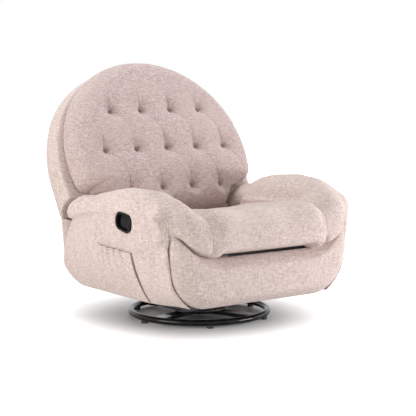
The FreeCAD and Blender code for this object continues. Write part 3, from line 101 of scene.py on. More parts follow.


# Painted light: the floor glows from SHADOW_START out, fully by SHADOW_END, and is painted darker nearer the
# chair.
FLOOR_REACH = 14.0
SHADOW_START = 0.22
SHADOW_END = 0.75
FLOOR_GLOW = 0.9
floor_corners = [(x * FLOOR_REACH, y * FLOOR_REACH, 0) for x, y in ((-1, -1), (1, -1), (1, 1), (-1, 1))]
floor_mesh = bpy.data.meshes.new("floor")
floor_mesh.from_pydata(floor_corners, [], [(0, 1, 2, 3)])
floor = bpy.data.objects.new("floor", floor_mesh)
scene.collection.objects.link(floor)
floor_finish, tree, surface = material("floor_finish")
surface.inputs["Base Color"].default_value = (0.78, 0.78, 0.78, 1)
surface.inputs["Roughness"].default_value = 0.55
surface.inputs["Emission Color"].default_value = (1, 1, 1, 1)
floor_rays = tree.nodes.new("ShaderNodeLightPath")
floor_place = tree.nodes.new("ShaderNodeNewGeometry")
floor_range = tree.nodes.new("ShaderNodeVectorMath")
floor_range.operation = "LENGTH"
# The glow is painted light that rises with distance from the chair, leaving the floor near it painted darker.
floor_glow = tree.nodes.new("ShaderNodeMapRange")
floor_glow.interpolation_type = "SMOOTHSTEP"
floor_glow.inputs["From Min"].default_value = SHADOW_START
floor_glow.inputs["From Max"].default_value = SHADOW_END
floor_glow.inputs["To Max"].default_value = FLOOR_GLOW
floor_seen = tree.nodes.new("ShaderNodeMath")
floor_seen.operation = "MULTIPLY"
link(tree, floor_place.outputs["Position"], floor_range.inputs[0])
link(tree, floor_range.outputs["Value"], floor_glow.inputs["Value"])
link(tree, floor_glow.outputs["Result"], floor_seen.inputs[0])
link(tree, floor_rays.outputs["Is Camera Ray"], floor_seen.inputs[1])
link(tree, floor_seen.outputs["Value"], surface.inputs["Emission Strength"])
floor.data.materials.append(floor_finish)
print("floor", FLOOR_REACH * 2, "m across")

# %% World
SKY_LEVEL = 0.5
BACKGROUND_LEVEL = 1.0
world = bpy.data.worlds.new("studio")
world.use_nodes = True
scene.world = world
sky = world.node_tree.nodes["Background"]
rays = world.node_tree.nodes.new("ShaderNodeLightPath")
seen = world.node_tree.nodes.new("ShaderNodeMath")
seen.operation = "MAXIMUM"
level = world.node_tree.nodes.new("ShaderNodeMapRange")
level.inputs["To Min"].default_value = SKY_LEVEL
level.inputs["To Max"].default_value = BACKGROUND_LEVEL
link(world.node_tree, rays.outputs["Is Camera Ray"], seen.inputs[0])
link(world.node_tree, rays.outputs["Is Glossy Ray"], seen.inputs[1])
link(world.node_tree, seen.outputs["Value"], level.inputs["Value"])
link(world.node_tree, level.outputs["Result"], sky.inputs["Strength"])
sky.inputs["Color"].default_value = (1, 1, 1, 1)
print("world levels", SKY_LEVEL, BACKGROUND_LEVEL)


# %% Lamps
def soft_lamp(name, spot, aim, size, power, tint):
    lamp_data = bpy.data.lights.new(name, "AREA")
    lamp_data.shape = "RECTANGLE"
    lamp_data.size = size[0]
    lamp_data.size_y = size[1]
    lamp_data.energy = power
    lamp_data.color = tint
    lamp = bpy.data.objects.new(name, lamp_data)
    lamp.location = spot
    lamp.rotation_euler = (Vector(aim) - Vector(spot)).to_track_quat("-Z", "Y").to_euler()
    scene.collection.objects.link(lamp)


soft_lamp("key_lamp", (-3.1, -0.3, 0.75), (0, 0, 0.35), (1.8, 1.4), 46, (1.0, 0.965, 0.91))
soft_lamp("front_lamp", (1.6, -2.0, 0.35), (0.2, -0.45, 0.2), (1.1, 0.6), 30, (1.0, 0.97, 0.98))
soft_lamp("far_lamp", (3.2, -1.0, 1.5), (0, 0, 0.5), (1.4, 1.8), 20, (1.0, 0.96, 0.95))
soft_lamp("top_lamp", (-0.2, 0.5, 3.3), (0, 0, 0.5), (2.2, 2.0), 52, (0.99, 1.0, 1.0))

# %% [markdown]
# ## Shared shader groups
# Four small groups serve every finish, and each gives only colours, heights and roughness. Chenille is
# the cover's mottled yarn. Speckle is the fine skin of paint and moulded plastic. Brushed is drawn or
# turned steel. Timber is sawn wood. Painted textures would need unwrapped meshes. These groups read
# object coordinates, so that nothing has to be unwrapped, and each is built once and used with other
# values.


# %% Group helpers
def new_group(name, inputs, outputs):
    group = bpy.data.node_groups.new(name, "ShaderNodeTree")
    for label, kind, value in inputs:
        socket = group.interface.new_socket(label, in_out="INPUT", socket_type=kind)
        socket.default_value = value
    for label, kind in outputs:
        group.interface.new_socket(label, in_out="OUTPUT", socket_type=kind)
    start = group.nodes.new("NodeGroupInput")
    finish = group.nodes.new("NodeGroupOutput")
    return group, start, finish


def add(tree, kind, **values):
    """A node with its settings and the values of its unlinked inputs."""
    made = tree.nodes.new(kind)
    for key, value in values.items():
        if hasattr(made, key):
            setattr(made, key, value)
        else:
            made.inputs[key.replace("_", " ")].default_value = value
    return made


def noise(tree, place, scale, stretch, detail=3.0):
    """A noise texture in object coordinates, stretched by a factor on each axis."""
    mapping = add(tree, "ShaderNodeMapping")
    mapping.inputs["Scale"].default_value = stretch
    link(tree, place.outputs["Object"], mapping.inputs["Vector"])
    texture = add(tree, "ShaderNodeTexNoise", Scale=scale, Detail=detail, Roughness=0.6)
    link(tree, mapping.outputs["Vector"], texture.inputs["Vector"])
    return texture


def band(tree, source, low, high, bottom=0.0, top=1.0):
    """Spreads the middle of a texture's values over a range."""
    made = add(tree, "ShaderNodeMapRange", From_Min=low, From_Max=high, To_Min=bottom, To_Max=top)
    link(tree, source, made.inputs["Value"])
    return made.outputs["Result"]


def mix(tree, kind, factor, one, other):
    """A mix of two colours or two values."""
    made = add(tree, "ShaderNodeMix", data_type=kind)
    sockets = [socket for socket in made.inputs if socket.enabled]
    for socket, source in zip(sockets, (factor, one, other)):
        if isinstance(source, bpy.types.NodeSocket):
            link(tree, source, socket)
        else:
            socket.default_value = source
    return next(socket for socket in made.outputs if socket.enabled)


# %% Chenille group
SKIN_OUTPUTS = [("Color", "NodeSocketColor"), ("Height", "NodeSocketFloat"), ("Roughness", "NodeSocketFloat")]
chenille, start, finish = new_group(
    "chenille",
    [("Light", "NodeSocketColor", (1, 1, 1, 1)), ("Dark", "NodeSocketColor", (0, 0, 0, 1)),
     ("Warm", "NodeSocketColor", (1, 1, 1, 1))],
    SKIN_OUTPUTS)
place = add(chenille, "ShaderNodeTexCoord")
fleck = band(chenille, noise(chenille, place, 260.0, (1, 1, 1), 4.0).outputs["Fac"], 0.36, 0.64)
weft = band(chenille, noise(chenille, place, 210.0, (0.2, 0.2, 1.2), 2.0).outputs["Fac"], 0.38, 0.62)
warp = band(chenille, noise(chenille, place, 210.0, (1.2, 1.2, 0.18), 2.0).outputs["Fac"], 0.38, 0.62)
slub = band(chenille, noise(chenille, place, 120.0, (1, 1, 1), 2.0).outputs["Fac"], 0.4, 0.6)
threads = mix(chenille, "FLOAT", 0.55, weft, warp)
yarn = mix(chenille, "FLOAT", 0.7, fleck, threads)
mottled = mix(chenille, "FLOAT", 0.15, yarn, slub)
tone = mix(chenille, "RGBA", mottled, start.outputs["Dark"], start.outputs["Light"])
nap = band(chenille, noise(chenille, place, 8.0, (1, 1, 1)).outputs["Fac"], 0.36, 0.7, 0.0, 0.5)
shaded = mix(chenille, "RGBA", nap, tone, start.outputs["Warm"])
link(chenille, shaded, finish.inputs["Color"])
link(chenille, mottled, finish.inputs["Height"])
link(chenille, band(chenille, mottled, 0.0, 1.0, 0.98, 0.82), finish.inputs["Roughness"])
print("chenille", len(chenille.nodes), "shader nodes")

# %% Speckle, brushed and timber groups
speckle, start, finish = new_group(
    "speckle",
    [("Color", "NodeSocketColor", (0.5, 0.5, 0.5, 1)), ("Scale", "NodeSocketFloat", 900.0),
     ("Smooth", "NodeSocketFloat", 0.2), ("Rough", "NodeSocketFloat", 0.3)],
    SKIN_OUTPUTS)
place = add(speckle, "ShaderNodeTexCoord")
grain = noise(speckle, place, 900.0, (1, 1, 1), 2.0)
link(speckle, start.outputs["Scale"], grain.inputs["Scale"])
dust = band(speckle, noise(speckle, place, 24.0, (1, 1, 1)).outputs["Fac"], 0.3, 0.75)
lifted = mix(speckle, "RGBA", 0.03, start.outputs["Color"], (0.3, 0.3, 0.3, 1))
link(speckle, mix(speckle, "RGBA", dust, start.outputs["Color"], lifted), finish.inputs["Color"])
link(speckle, grain.outputs["Fac"], finish.inputs["Height"])
link(speckle, mix(speckle, "FLOAT", dust, start.outputs["Smooth"], start.outputs["Rough"]),
     finish.inputs["Roughness"])

brushed, start, finish = new_group(
    "brushed",
    [("Color", "NodeSocketColor", (0.6, 0.6, 0.6, 1))],
    SKIN_OUTPUTS)
place = add(brushed, "ShaderNodeTexCoord")
lines = band(brushed, noise(brushed, place, 700.0, (0.05, 1, 1)).outputs["Fac"], 0.3, 0.7)
darker = mix(brushed, "RGBA", 0.35, start.outputs["Color"], (0.05, 0.05, 0.05, 1))
link(brushed, mix(brushed, "RGBA", lines, darker, start.outputs["Color"]), finish.inputs["Color"])
link(brushed, lines, finish.inputs["Height"])
link(brushed, band(brushed, lines, 0.0, 1.0, 0.38, 0.22), finish.inputs["Roughness"])

timber, start, finish = new_group(
    "timber",
    [("Early", "NodeSocketColor", (0.7, 0.5, 0.3, 1)), ("Late", "NodeSocketColor", (0.4, 0.25, 0.12, 1))],
    SKIN_OUTPUTS)
place = add(timber, "ShaderNodeTexCoord")
rings = band(timber, noise(timber, place, 38.0, (1, 0.12, 1), 4.0).outputs["Fac"], 0.35, 0.65)
pores = band(timber, noise(timber, place, 420.0, (1, 0.06, 1)).outputs["Fac"], 0.45, 0.7)
figure = mix(timber, "FLOAT", 0.3, rings, pores)
wood_tone = mix(timber, "RGBA", figure, start.outputs["Early"], start.outputs["Late"])
link(timber, wood_tone, finish.inputs["Color"])
link(timber, figure, finish.inputs["Height"])
link(timber, band(timber, figure, 0.0, 1.0, 0.62, 0.8), finish.inputs["Roughness"])
print("groups", [group.name for group in bpy.data.node_groups])

# %% [markdown]
# ## Finishes
# The upholstery is a short chenille in dusty pink: thick and thin yarn, flecked with beige, with a nap
# that shades softly from place to place. The back has a darker copy of the same cloth, a painted shade
# that makes it read darker than its lighting alone would. The foot is gloss black enamel, the mechanism
# satin powder coat, the handle a satin moulding, and the hidden frame plain timber. Each finish keeps
# its own surface shader and takes its detail from one of the shared groups.


# %% Finish helper
def finish_with(name, group, bump_height, **colours):
    made, tree, surface = material(name)
    skin = tree.nodes.new("ShaderNodeGroup")
    skin.node_tree = group
    for label, value in colours.items():
        skin.inputs[label].default_value = value
    bump = add(tree, "ShaderNodeBump", Strength=0.5, Distance=bump_height)
    link(tree, skin.outputs["Color"], surface.inputs["Base Color"])
    link(tree, skin.outputs["Roughness"], surface.inputs["Roughness"])
    link(tree, skin.outputs["Height"], bump.inputs["Height"])
    link(tree, bump.outputs["Normal"], surface.inputs["Normal"])
    return made, surface


# %% Cloth finishes
pink_cloth, surface = finish_with("pink_chenille", chenille, 1.5 * MM, Light=(0.86, 0.745, 0.70, 1),
                                  Dark=(0.36, 0.265, 0.245, 1), Warm=(0.66, 0.55, 0.505, 1))
# The back's copy of the cloth has darker colours: painted shade on the back.
back_painted_shade_cloth, back_painted_shade_surface = finish_with("pink_chenille_against_nap", chenille, 1.5 * MM,
                                           Light=(0.755, 0.63, 0.605, 1), Dark=(0.29, 0.205, 0.20, 1),
                                           Warm=(0.565, 0.455, 0.43, 1))
for cloth_surface in (surface, back_painted_shade_surface):
    cloth_surface.inputs["Sheen Weight"].default_value = 0.3
    cloth_surface.inputs["Sheen Roughness"].default_value = 0.45
    cloth_surface.inputs["Sheen Tint"].default_value = (1.0, 0.93, 0.9, 1)
    cloth_surface.inputs["Specular IOR Level"].default_value = 0.15
print("cloths", pink_cloth.name, back_painted_shade_cloth.name)

# %% Enamel, plastic, steel and wood
black_enamel, surface = finish_with("black_enamel", speckle, 0.03 * MM, Color=(0.006, 0.006, 0.0065, 1),
                                    Scale=350.0, Smooth=0.14, Rough=0.22)
surface.inputs["Specular IOR Level"].default_value = 0.2
surface.inputs["Coat Weight"].default_value = 0.12
surface.inputs["Coat Roughness"].default_value = 0.06
powder_coat, _ = finish_with("powder_coat", speckle, 0.12 * MM, Color=(0.045, 0.045, 0.05, 1),
                             Scale=1400.0, Smooth=0.42, Rough=0.55)
moulding, surface = finish_with("satin_moulding", speckle, 0.05 * MM, Color=(0.007, 0.007, 0.008, 1),
                                Scale=1800.0, Smooth=0.38, Rough=0.48)
surface.inputs["Specular IOR Level"].default_value = 0.12
nylon, _ = finish_with("matt_nylon", speckle, 0.1 * MM, Color=(0.03, 0.03, 0.032, 1), Scale=1100.0,
                       Smooth=0.55, Rough=0.7)
sheath, _ = finish_with("cable_sheath", speckle, 0.1 * MM, Color=(0.035, 0.035, 0.038, 1), Scale=700.0,
                        Smooth=0.5, Rough=0.62)
bright_steel, surface = finish_with("bright_steel", brushed, 0.03 * MM, Color=(0.62, 0.62, 0.63, 1))
surface.inputs["Metallic"].default_value = 1.0
spring_steel, surface = finish_with("spring_steel", brushed, 0.04 * MM, Color=(0.30, 0.30, 0.31, 1))
surface.inputs["Metallic"].default_value = 1.0
frame_wood, _ = finish_with("frame_wood", timber, 0.25 * MM, Early=(0.66, 0.48, 0.29, 1),
                            Late=(0.42, 0.26, 0.13, 1))
elastic, _ = finish_with("elastic_webbing", chenille, 0.4 * MM, Light=(0.09, 0.09, 0.10, 1),
                         Dark=(0.02, 0.02, 0.025, 1), Warm=(0.05, 0.05, 0.055, 1))

# %% Finishes by slot
finishes = {"upholstery": pink_cloth, "black_enamel": black_enamel, "mechanism_steel": powder_coat,
            "handle_plastic": moulding, "nylon": nylon, "cable_sheath": sheath, "bright_steel": bright_steel,
            "spring_steel": spring_steel, "frame_wood": frame_wood, "webbing": elastic}
slot_of = {part["node"]: part["material_slot"] for part in frame["record"]["subparts"]}
for name, piece in frame["nodes"].items():
    piece.data.materials.clear()
    piece.data.materials.append(finishes[slot_of[name]])
print("finishes", len(finishes), "on", len(slot_of), "nodes")

# %% [markdown]
# ## Soft covers
# Each foam solid is copied, remeshed into even small squares and relaxed, which rounds its edges as
# stretched cloth does. Solids that share one cover on the real chair, such as an arm's roll and its
# side, are remeshed together, so that the cloth runs on over the join. A short cloth simulation with
# air pressure then fills the cover as foam does, with the movement of every point limited.


# %% Mesh helpers
def points_of(mesh):
    flat = np.empty(len(mesh.vertices) * 3)
    mesh.vertices.foreach_get("co", flat)
    return flat.reshape(-1, 3)


def normals_of(mesh):
    flat = np.empty(len(mesh.vertices) * 3)
    mesh.vertices.foreach_get("normal", flat)
    return flat.reshape(-1, 3)


def set_points(mesh, points):
    mesh.vertices.foreach_set("co", np.asarray(points, float).ravel())
    mesh.update()


def applied(piece):
    """Replaces a piece's mesh with what its modifiers make of it."""
    graph = bpy.context.evaluated_depsgraph_get()
    mesh = bpy.data.meshes.new_from_object(piece.evaluated_get(graph))
    piece.modifiers.clear()
    piece.data = mesh
    return piece


def shade_smooth(piece):
    piece.data.polygons.foreach_set("use_smooth", [True] * len(piece.data.polygons))
    piece.data.update()


def joined_copy(name, nodes, wrapped=(), thickness=0.0, slabs=()):
    """One new object with copies of nodes' meshes, of wrapped ones made thicker, and with flat slabs."""
    shape = bmesh.new()
    for node in wrapped:
        shape.from_mesh(frame["nodes"][node].data)
    bmesh.ops.remove_doubles(shape, verts=shape.verts, dist=1e-6)
    shape.normal_update()
    for vert in shape.verts:
        vert.co += vert.normal * thickness * vert.calc_shell_factor()
    for node in nodes:
        shape.from_mesh(frame["nodes"][node].data)
    for outline, near, far in slabs:
        rims = [[shape.verts.new((x, y, z)) for y, z in outline] for x in (near, far)]
        shape.faces.new(rims[0])
        shape.faces.new(reversed(rims[1]))
        for number in range(len(outline)):
            after = (number + 1) % len(outline)
            shape.faces.new((rims[0][after], rims[0][number], rims[1][number], rims[1][after]))
    bmesh.ops.recalc_face_normals(shape, faces=shape.faces)
    bmesh.ops.remove_doubles(shape, verts=shape.verts, dist=1e-6)
    mesh = bpy.data.meshes.new(name)
    shape.to_mesh(mesh)
    shape.free()
    piece = bpy.data.objects.new(name, mesh)
    scene.collection.objects.link(piece)
    return piece


def relaxed(piece, voxel, rounds):
    remesh = piece.modifiers.new("remesh", "REMESH")
    remesh.mode = "VOXEL"
    remesh.voxel_size = voxel
    smooth = piece.modifiers.new("smooth", "SMOOTH")
    smooth.factor = 0.5
    smooth.iterations = rounds
    return applied(piece)


def finer(piece):
    subdivide = piece.modifiers.new("finer", "SUBSURF")
    subdivide.levels = 1
    return applied(piece)


def ease(low, high, value):
    """A smooth step from 0 at low to 1 at high."""
    share = np.clip((value - low) / (high - low), 0, 1)
    return share * share * (3 - 2 * share)


def bell(distance, width):
    return np.exp(-(distance / width) ** 2)


def drum_skin(piece, loose, rounds):
    """Relaxes the loose points and leaves the others where they are."""
    mesh = piece.data
    pairs = np.empty(len(mesh.edges) * 2, int)
    mesh.edges.foreach_get("vertices", pairs)
    pairs = pairs.reshape(-1, 2)
    pairs = pairs[loose[pairs[:, 0]] | loose[pairs[:, 1]]]
    spots = points_of(mesh)
    for _ in range(rounds):
        total = np.zeros_like(spots)
        count = np.zeros(len(spots))
        np.add.at(total, pairs[:, 0], spots[pairs[:, 1]])
        np.add.at(total, pairs[:, 1], spots[pairs[:, 0]])
        np.add.at(count, pairs[:, 0], 1)
        np.add.at(count, pairs[:, 1], 1)
        spots[loose] = total[loose] / count[loose, None]
    set_points(mesh, spots)


def pushed(piece, amounts):
    """Moves each point along its normal."""
    set_points(piece.data, points_of(piece.data) + normals_of(piece.data) * amounts[:, None])


# %% Cover helpers
def cover(name, nodes, voxel, rounds, wrapped=(), thickness=0.0, slabs=()):
    """A soft cover over foam solids, which may also wrap the boards and slabs of wadding beside them."""
    piece = relaxed(joined_copy(name, nodes, wrapped, thickness, slabs), voxel, rounds)
    piece.data.materials.clear()
    piece.data.materials.append(pink_cloth)
    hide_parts(*nodes)
    return piece


FILL_FRAMES = 20


def filled(piece, pressure, cap, loose):
    """Fills a cover by a cloth simulation. Loose is 1 where a point may move by the cap, and 0 where not."""
    before = points_of(piece.data)
    cloth = piece.modifiers.new("cloth", "CLOTH")
    cloth.settings.use_pressure = True
    cloth.settings.uniform_pressure_force = pressure
    cloth.settings.effector_weights.gravity = 0.0
    cloth.settings.tension_stiffness = 12.0
    cloth.settings.compression_stiffness = 12.0
    cloth.settings.bending_stiffness = 0.4
    cloth.settings.quality = 4
    cloth.point_cache.frame_start = 1
    cloth.point_cache.frame_end = FILL_FRAMES
    for number in range(1, FILL_FRAMES + 1):
        scene.frame_set(number)
    graph = bpy.context.evaluated_depsgraph_get()
    after = points_of(piece.evaluated_get(graph).data)
    piece.modifiers.clear()
    scene.frame_set(1)
    step = after - before
    length = np.linalg.norm(step, axis=1)
    share = np.minimum(1.0, cap / np.maximum(length, 1e-9)) * loose
    set_points(piece.data, before + step * share[:, None])
    print(piece.name, "filled by", round(float((length * share).max()) / MM, 1), "mm at most")
    return piece


def dress(piece, body):
    shade_smooth(piece)
    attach(piece, body)
    print(piece.name, len(piece.data.vertices), "points")
    return piece


# %% [markdown]
# ## Footrest
# The footrest is a padded panel with pointed upper corners that reach up between the arms and the
# sides. It could be sculpted by hand. Here the foam solid already has its outline, so only its front is
# filled by the simulation, which gives the slight swell of wadding under tight cloth.

# %% Footrest cover
footrest_cover = cover("footrest_cover", ["footrest_pad"], 6 * MM, 6)
spots = points_of(footrest_cover.data)
front_face = ease(-0.46, -0.50, spots[:, 1])
footrest_cover = filled(footrest_cover, 3.0, 5 * MM, front_face)
footrest_cover = dress(finer(footrest_cover), "footrest")

# %% [markdown]
# ## Seat, arms and sides
# On this chair the seat's front roll runs on into the two arms, and an arm's roll runs on into the
# outer side, with only sewn lines between them. Separate covers would show gaps there. So the seat, the
# arms, the sides and the boards behind them are remeshed together as one cover, and the seams are drawn
# in afterwards. Each seam is a curve on the chair, and the points near it sink along their normals.

# %% Curves of the sides
SETBACK = 70 * MM


def side_spot(y, z):
    """A spot of the side view, given in millimetres from the swivel axis."""
    return np.array([y * MM - SETBACK, z * MM])


def circle_through(one, two, three):
    """Middle and radius of the circle through three plane points."""
    chords = 2 * np.array([two - one, three - one])
    sums = np.array([two @ two - one @ one, three @ three - one @ one])
    middle = np.linalg.solve(chords, sums)
    return middle, np.linalg.norm(one - middle)


# The seam below the arm runs along the deck's arc. The skin's arc is the side's bulge, seen from in front.
DECK_ARC = ((-372, 396), (-90, 446), (188, 402))
SKIN_ARC = ((382, 118), (454, 250), (481, 470))
deck_middle, deck_radius = circle_through(*(side_spot(*spot) for spot in DECK_ARC))
skin_middle, skin_radius = circle_through(*(np.array(spot) * MM for spot in SKIN_ARC))
print("arcs", round(float(deck_radius), 3), round(float(skin_radius), 3))


def skin_out(z):
    """How far out the side's surface stands at a height."""
    return skin_middle[0] + np.sqrt(skin_radius ** 2 - (z - skin_middle[1]) ** 2)


def distance_to_line(spots, begin, end):
    """Distance of side view points from a straight run."""
    way = end - begin
    share = np.clip((spots - begin) @ way / (way @ way), 0, 1)
    return np.linalg.norm(spots - begin - share[:, None] * way, axis=1)


# %% One cover
soft_nodes = ["seat_cushion"]
boards = []
for side in ("left", "right"):
    soft_nodes += [f"arm_pad_{side}", f"side_panel_{side}", f"arm_inner_panel_{side}"]
    boards.append(f"arm_frame_{side}")
# A thin tail of wadding carries each arm on past the side of the back.
TAIL_OUTLINE = ((40, 430), (40, 520), (90, 508), (140, 492), (182, 474), (204, 455), (208, 432), (196, 408),
                (150, 412))
tail = [side_spot(*spot) for spot in TAIL_OUTLINE]
# A strip of wadding fills the crevice between the seat and each arm.
STRIP_OUTLINE = ((-340, 400), (-340, 464), (60, 452), (60, 400))
strip = [side_spot(*spot) for spot in STRIP_OUTLINE]
wadding = [(tail, 0.458, 0.487), (tail, -0.487, -0.458), (strip, 0.266, 0.306), (strip, -0.306, -0.266)]
body_cover = cover("body_cover", soft_nodes, 7 * MM, 7, boards, 3 * MM, wadding)
spots = points_of(body_cover.data)
half = np.abs(spots[:, 0])
loose = np.maximum(ease(0.45, 0.50, spots[:, 2]) * ease(0.285, 0.31, half),
                   ease(0.41, 0.44, spots[:, 2]) * ease(0.27, 0.25, half))
finer(filled(body_cover, 4.0, 8 * MM, loose))
print("one cover over", len(soft_nodes), "soft pieces")

# %% [markdown]
# ## Arm profile
# The arm on the real chair is a long low curve from its front end to its tail. It could be built as a
# new loft, but then it would have to be joined to the cover. So the height of each arm's ridge is read
# along the chair and stretched to that curve, and the outer edge is lifted a little above the inner
# one.

# %% Arm profile
ARM_FOOT = 0.44
RIDGE_SPOTS = (-470, -450, -380, -260, -130, 0, 60, 130, 180, 215)
RIDGE_HEIGHTS = {-1: (500, 511, 530, 543, 543, 527, 518, 500, 484, 465),
                 1: (490, 501, 522, 545, 553, 546, 534, 508, 488, 466)}
spots = points_of(body_cover.data)
half = np.abs(spots[:, 0])
steps = np.linspace(-0.53, 0.15, 69)
for sign, heights in RIDGE_HEIGHTS.items():
    arm = (spots[:, 0] * sign > 0.29) & (spots[:, 2] > ARM_FOOT)
    found = [spots[arm & (np.abs(spots[:, 1] - step) < 9 * MM)][:, 2] for step in steps]
    ridge = np.array([level.max() if len(level) else ARM_FOOT + 0.01 for level in found])
    ridge = np.convolve(np.pad(ridge, 2, mode="edge"), np.ones(5) / 5, mode="valid")
    ridge_here = np.interp(spots[:, 1], steps, ridge)
    wanted = np.interp(spots[:, 1], np.array(RIDGE_SPOTS) * MM - SETBACK, np.array(heights) * MM)
    stretch = np.clip((wanted - ARM_FOOT) / np.maximum(ridge_here - ARM_FOOT, 0.01), 0.6, 1.6)
    blend_in = ease(0.28, 0.315, half)
    raised = ARM_FOOT + (spots[:, 2] - ARM_FOOT) * (1 + (stretch - 1) * blend_in)
    spots[arm, 2] = raised[arm]
is_arm = ease(0.27, 0.31, half) * ease(0.40, 0.52, spots[:, 2])
toward_front = ease(-0.12, -0.38, spots[:, 1])
spots[:, 2] += is_arm * ease(0.36, 0.45, half) * (5 * MM + toward_front * 5 * MM)
spots[:, 0] += np.sign(spots[:, 0]) * is_arm * toward_front * ease(0.38, 0.47, half) * 8 * MM
set_points(body_cover.data, spots)
print("ridges", {side: max(heights) for side, heights in RIDGE_HEIGHTS.items()})

# %% [markdown]
# ## Cheeks
# Behind the footrest's edge the sides show as narrow cheeks. The foam solids are as wide there as
# further back. On the real chair they follow the footrest's outline, which draws in to the foot of the
# chair, so the cover's points beyond the wooden side are scaled towards it until they stand a little
# outside the panel.

# %% Cheeks behind the footrest
BOARD_OUT = 0.318
REVEAL = 13 * MM
CHEEK_ARC = ((376, 118), (437, 250), (433, 402))
cheek_middle, cheek_radius = circle_through(*(np.array(spot) * MM for spot in CHEEK_ARC))
panel_spots = points_of(footrest_cover.data)
levels = np.linspace(0.12, 0.38, 27)
panel_rows = [panel_spots[np.abs(panel_spots[:, 2] - level) < 8 * MM] for level in levels]
panel_half = [np.abs(row[:, 0]).max() for row in panel_rows]
spots = points_of(body_cover.data)
half = np.abs(spots[:, 0])
level_here = np.clip(spots[:, 2], 0.118, 0.40)
cheek_out = cheek_middle[0] + np.sqrt(cheek_radius ** 2 - (level_here - cheek_middle[1]) ** 2)
wanted = np.interp(spots[:, 2], levels, panel_half) + REVEAL
draw_in = np.clip((wanted - BOARD_OUT) / (cheek_out - BOARD_OUT), 0.08, 1)
forward = ease(-0.26, -0.44, spots[:, 1]) * ease(0.37, 0.31, spots[:, 2])
share = 1 - forward * (1 - draw_in)
moved = half > BOARD_OUT
spots[moved, 0] = (np.sign(spots[:, 0]) * (BOARD_OUT + (half - BOARD_OUT) * share))[moved]
set_points(body_cover.data, spots)
print("panel half widths", [round(float(value), 3) for value in panel_half[::6]])

# %% [markdown]
# ## Arm fronts
# The arms' front ends hang down on to the footrest's upper edge. The solids leave room there for the
# footrest to swing. The gap is measured with rays for each place across the chair, and the front is
# stretched down by that much, because a fixed shift would cut into the panel's corners. The cloth then
# runs from the seat's front over to the arm in one soft valley, and the arm's outer corner is drawn out
# to a point.

# %% Arm fronts on the footrest
panel_tree = BVHTree.FromObject(footrest_cover, bpy.context.evaluated_depsgraph_get())
spots = points_of(body_cover.data)
half = np.abs(spots[:, 0])
places = np.linspace(0.20, 0.47, 28)
gaps = np.zeros(len(places))
under = np.zeros(len(places))
for number, place_out in enumerate(places):
    near = (np.abs(half - place_out) < 7 * MM) & (spots[:, 1] < -0.47) & (spots[:, 2] > 0.28)
    if not near.any():
        continue
    lowest = spots[near][np.argmin(spots[near][:, 2])]
    begin = Vector(lowest) + Vector((0, 0, 0.001))
    hit, _, _, gap = panel_tree.ray_cast(begin, Vector((0, 0, -1)), 0.2)
    under[number] = lowest[2]
    gaps[number] = 0 if hit is None else gap - 2 * MM
print("gaps", [round(float(g) / MM) for g in gaps])
gap_here = np.clip(np.interp(half, places, gaps, left=0), 0, 60 * MM)
under_here = np.interp(half, places, under)
HANG_HEIGHT = 0.16
hang = gap_here * (1 - ease(0, 1, (spots[:, 2] - under_here) / HANG_HEIGHT)) * ease(-0.40, -0.47, spots[:, 1])
hang *= ease(0.215, 0.25, half) * (spots[:, 2] > 0.28)
spots[:, 2] -= hang
set_points(body_cover.data, spots)

# %% Valley between the seat and the arms
# The corners are relaxed only to find which way the cloth faces there. The points are set again below.
corner = (half > 0.37) & (spots[:, 1] < -0.40) & (spots[:, 2] > 0.385) & (spots[:, 2] < 0.53)
drum_skin(body_cover, corner, 60)
SEAT_END = 0.262
FRONT_SLANT = 0.42
front_levels = np.linspace(0.33, 0.45, 13)
middle = (half > 0.20) & (half < 0.25)
seat_front = [spots[middle & (np.abs(spots[:, 2] - level) < 8 * MM)][:, 1].min() for level in front_levels]
target = np.interp(spots[:, 2], front_levels, seat_front) + (half - SEAT_END) * FRONT_SLANT
facing = ease(0.1, -0.3, normals_of(body_cover.data)[:, 1])
facing *= ease(SEAT_END, SEAT_END + 0.02, half) * (half < 0.46)
facing *= ease(0.48, 0.44, spots[:, 2]) * ease(0.34, 0.37, spots[:, 2]) * (spots[:, 1] < -0.38)
spots[:, 1] += np.minimum(target - spots[:, 1], 0) * facing
set_points(body_cover.data, spots)
valley = (half > 0.235) & (half < 0.43) & (spots[:, 1] < -0.34) & (spots[:, 2] > 0.36)
drum_skin(body_cover, valley, 260)
print("valley", int(valley.sum()), "points")

# %% Outer corners of the arms
spots = points_of(body_cover.data)
half = np.abs(spots[:, 0])
TIP = np.array((0.455, -0.425, 0.478))
UNDER_TIP = np.array((0.475, -0.44, 0.395))
mirrored = np.stack([half, spots[:, 1], spots[:, 2]], axis=1)
out_by = bell(np.linalg.norm(mirrored - TIP, axis=1), 36 * MM) * 30 * MM
out_by -= bell(np.linalg.norm(mirrored - UNDER_TIP, axis=1), 50 * MM) * 8 * MM
spots[:, 0] += np.sign(spots[:, 0]) * out_by * 0.8
spots[:, 1] -= out_by * 0.6
set_points(body_cover.data, spots)
neck = (half > 0.36) & (spots[:, 1] > -0.07) & (spots[:, 1] < 0.05) & (spots[:, 2] > 0.455)
drum_skin(body_cover, neck, 80)
print("corner drawn out by", round(float(out_by.max()) / MM, 1), "mm")

# %% [markdown]
# ## Seams
# One sewn line follows the deck below the arm, two short folds lie above the handle, and two lines mark
# the pocket's edges. Seams could be cut as edges, but the remeshed cover has none there. So each is a
# distance from a curve, and the points near it sink along their normals, with a slight swell beside the
# deck's seam.

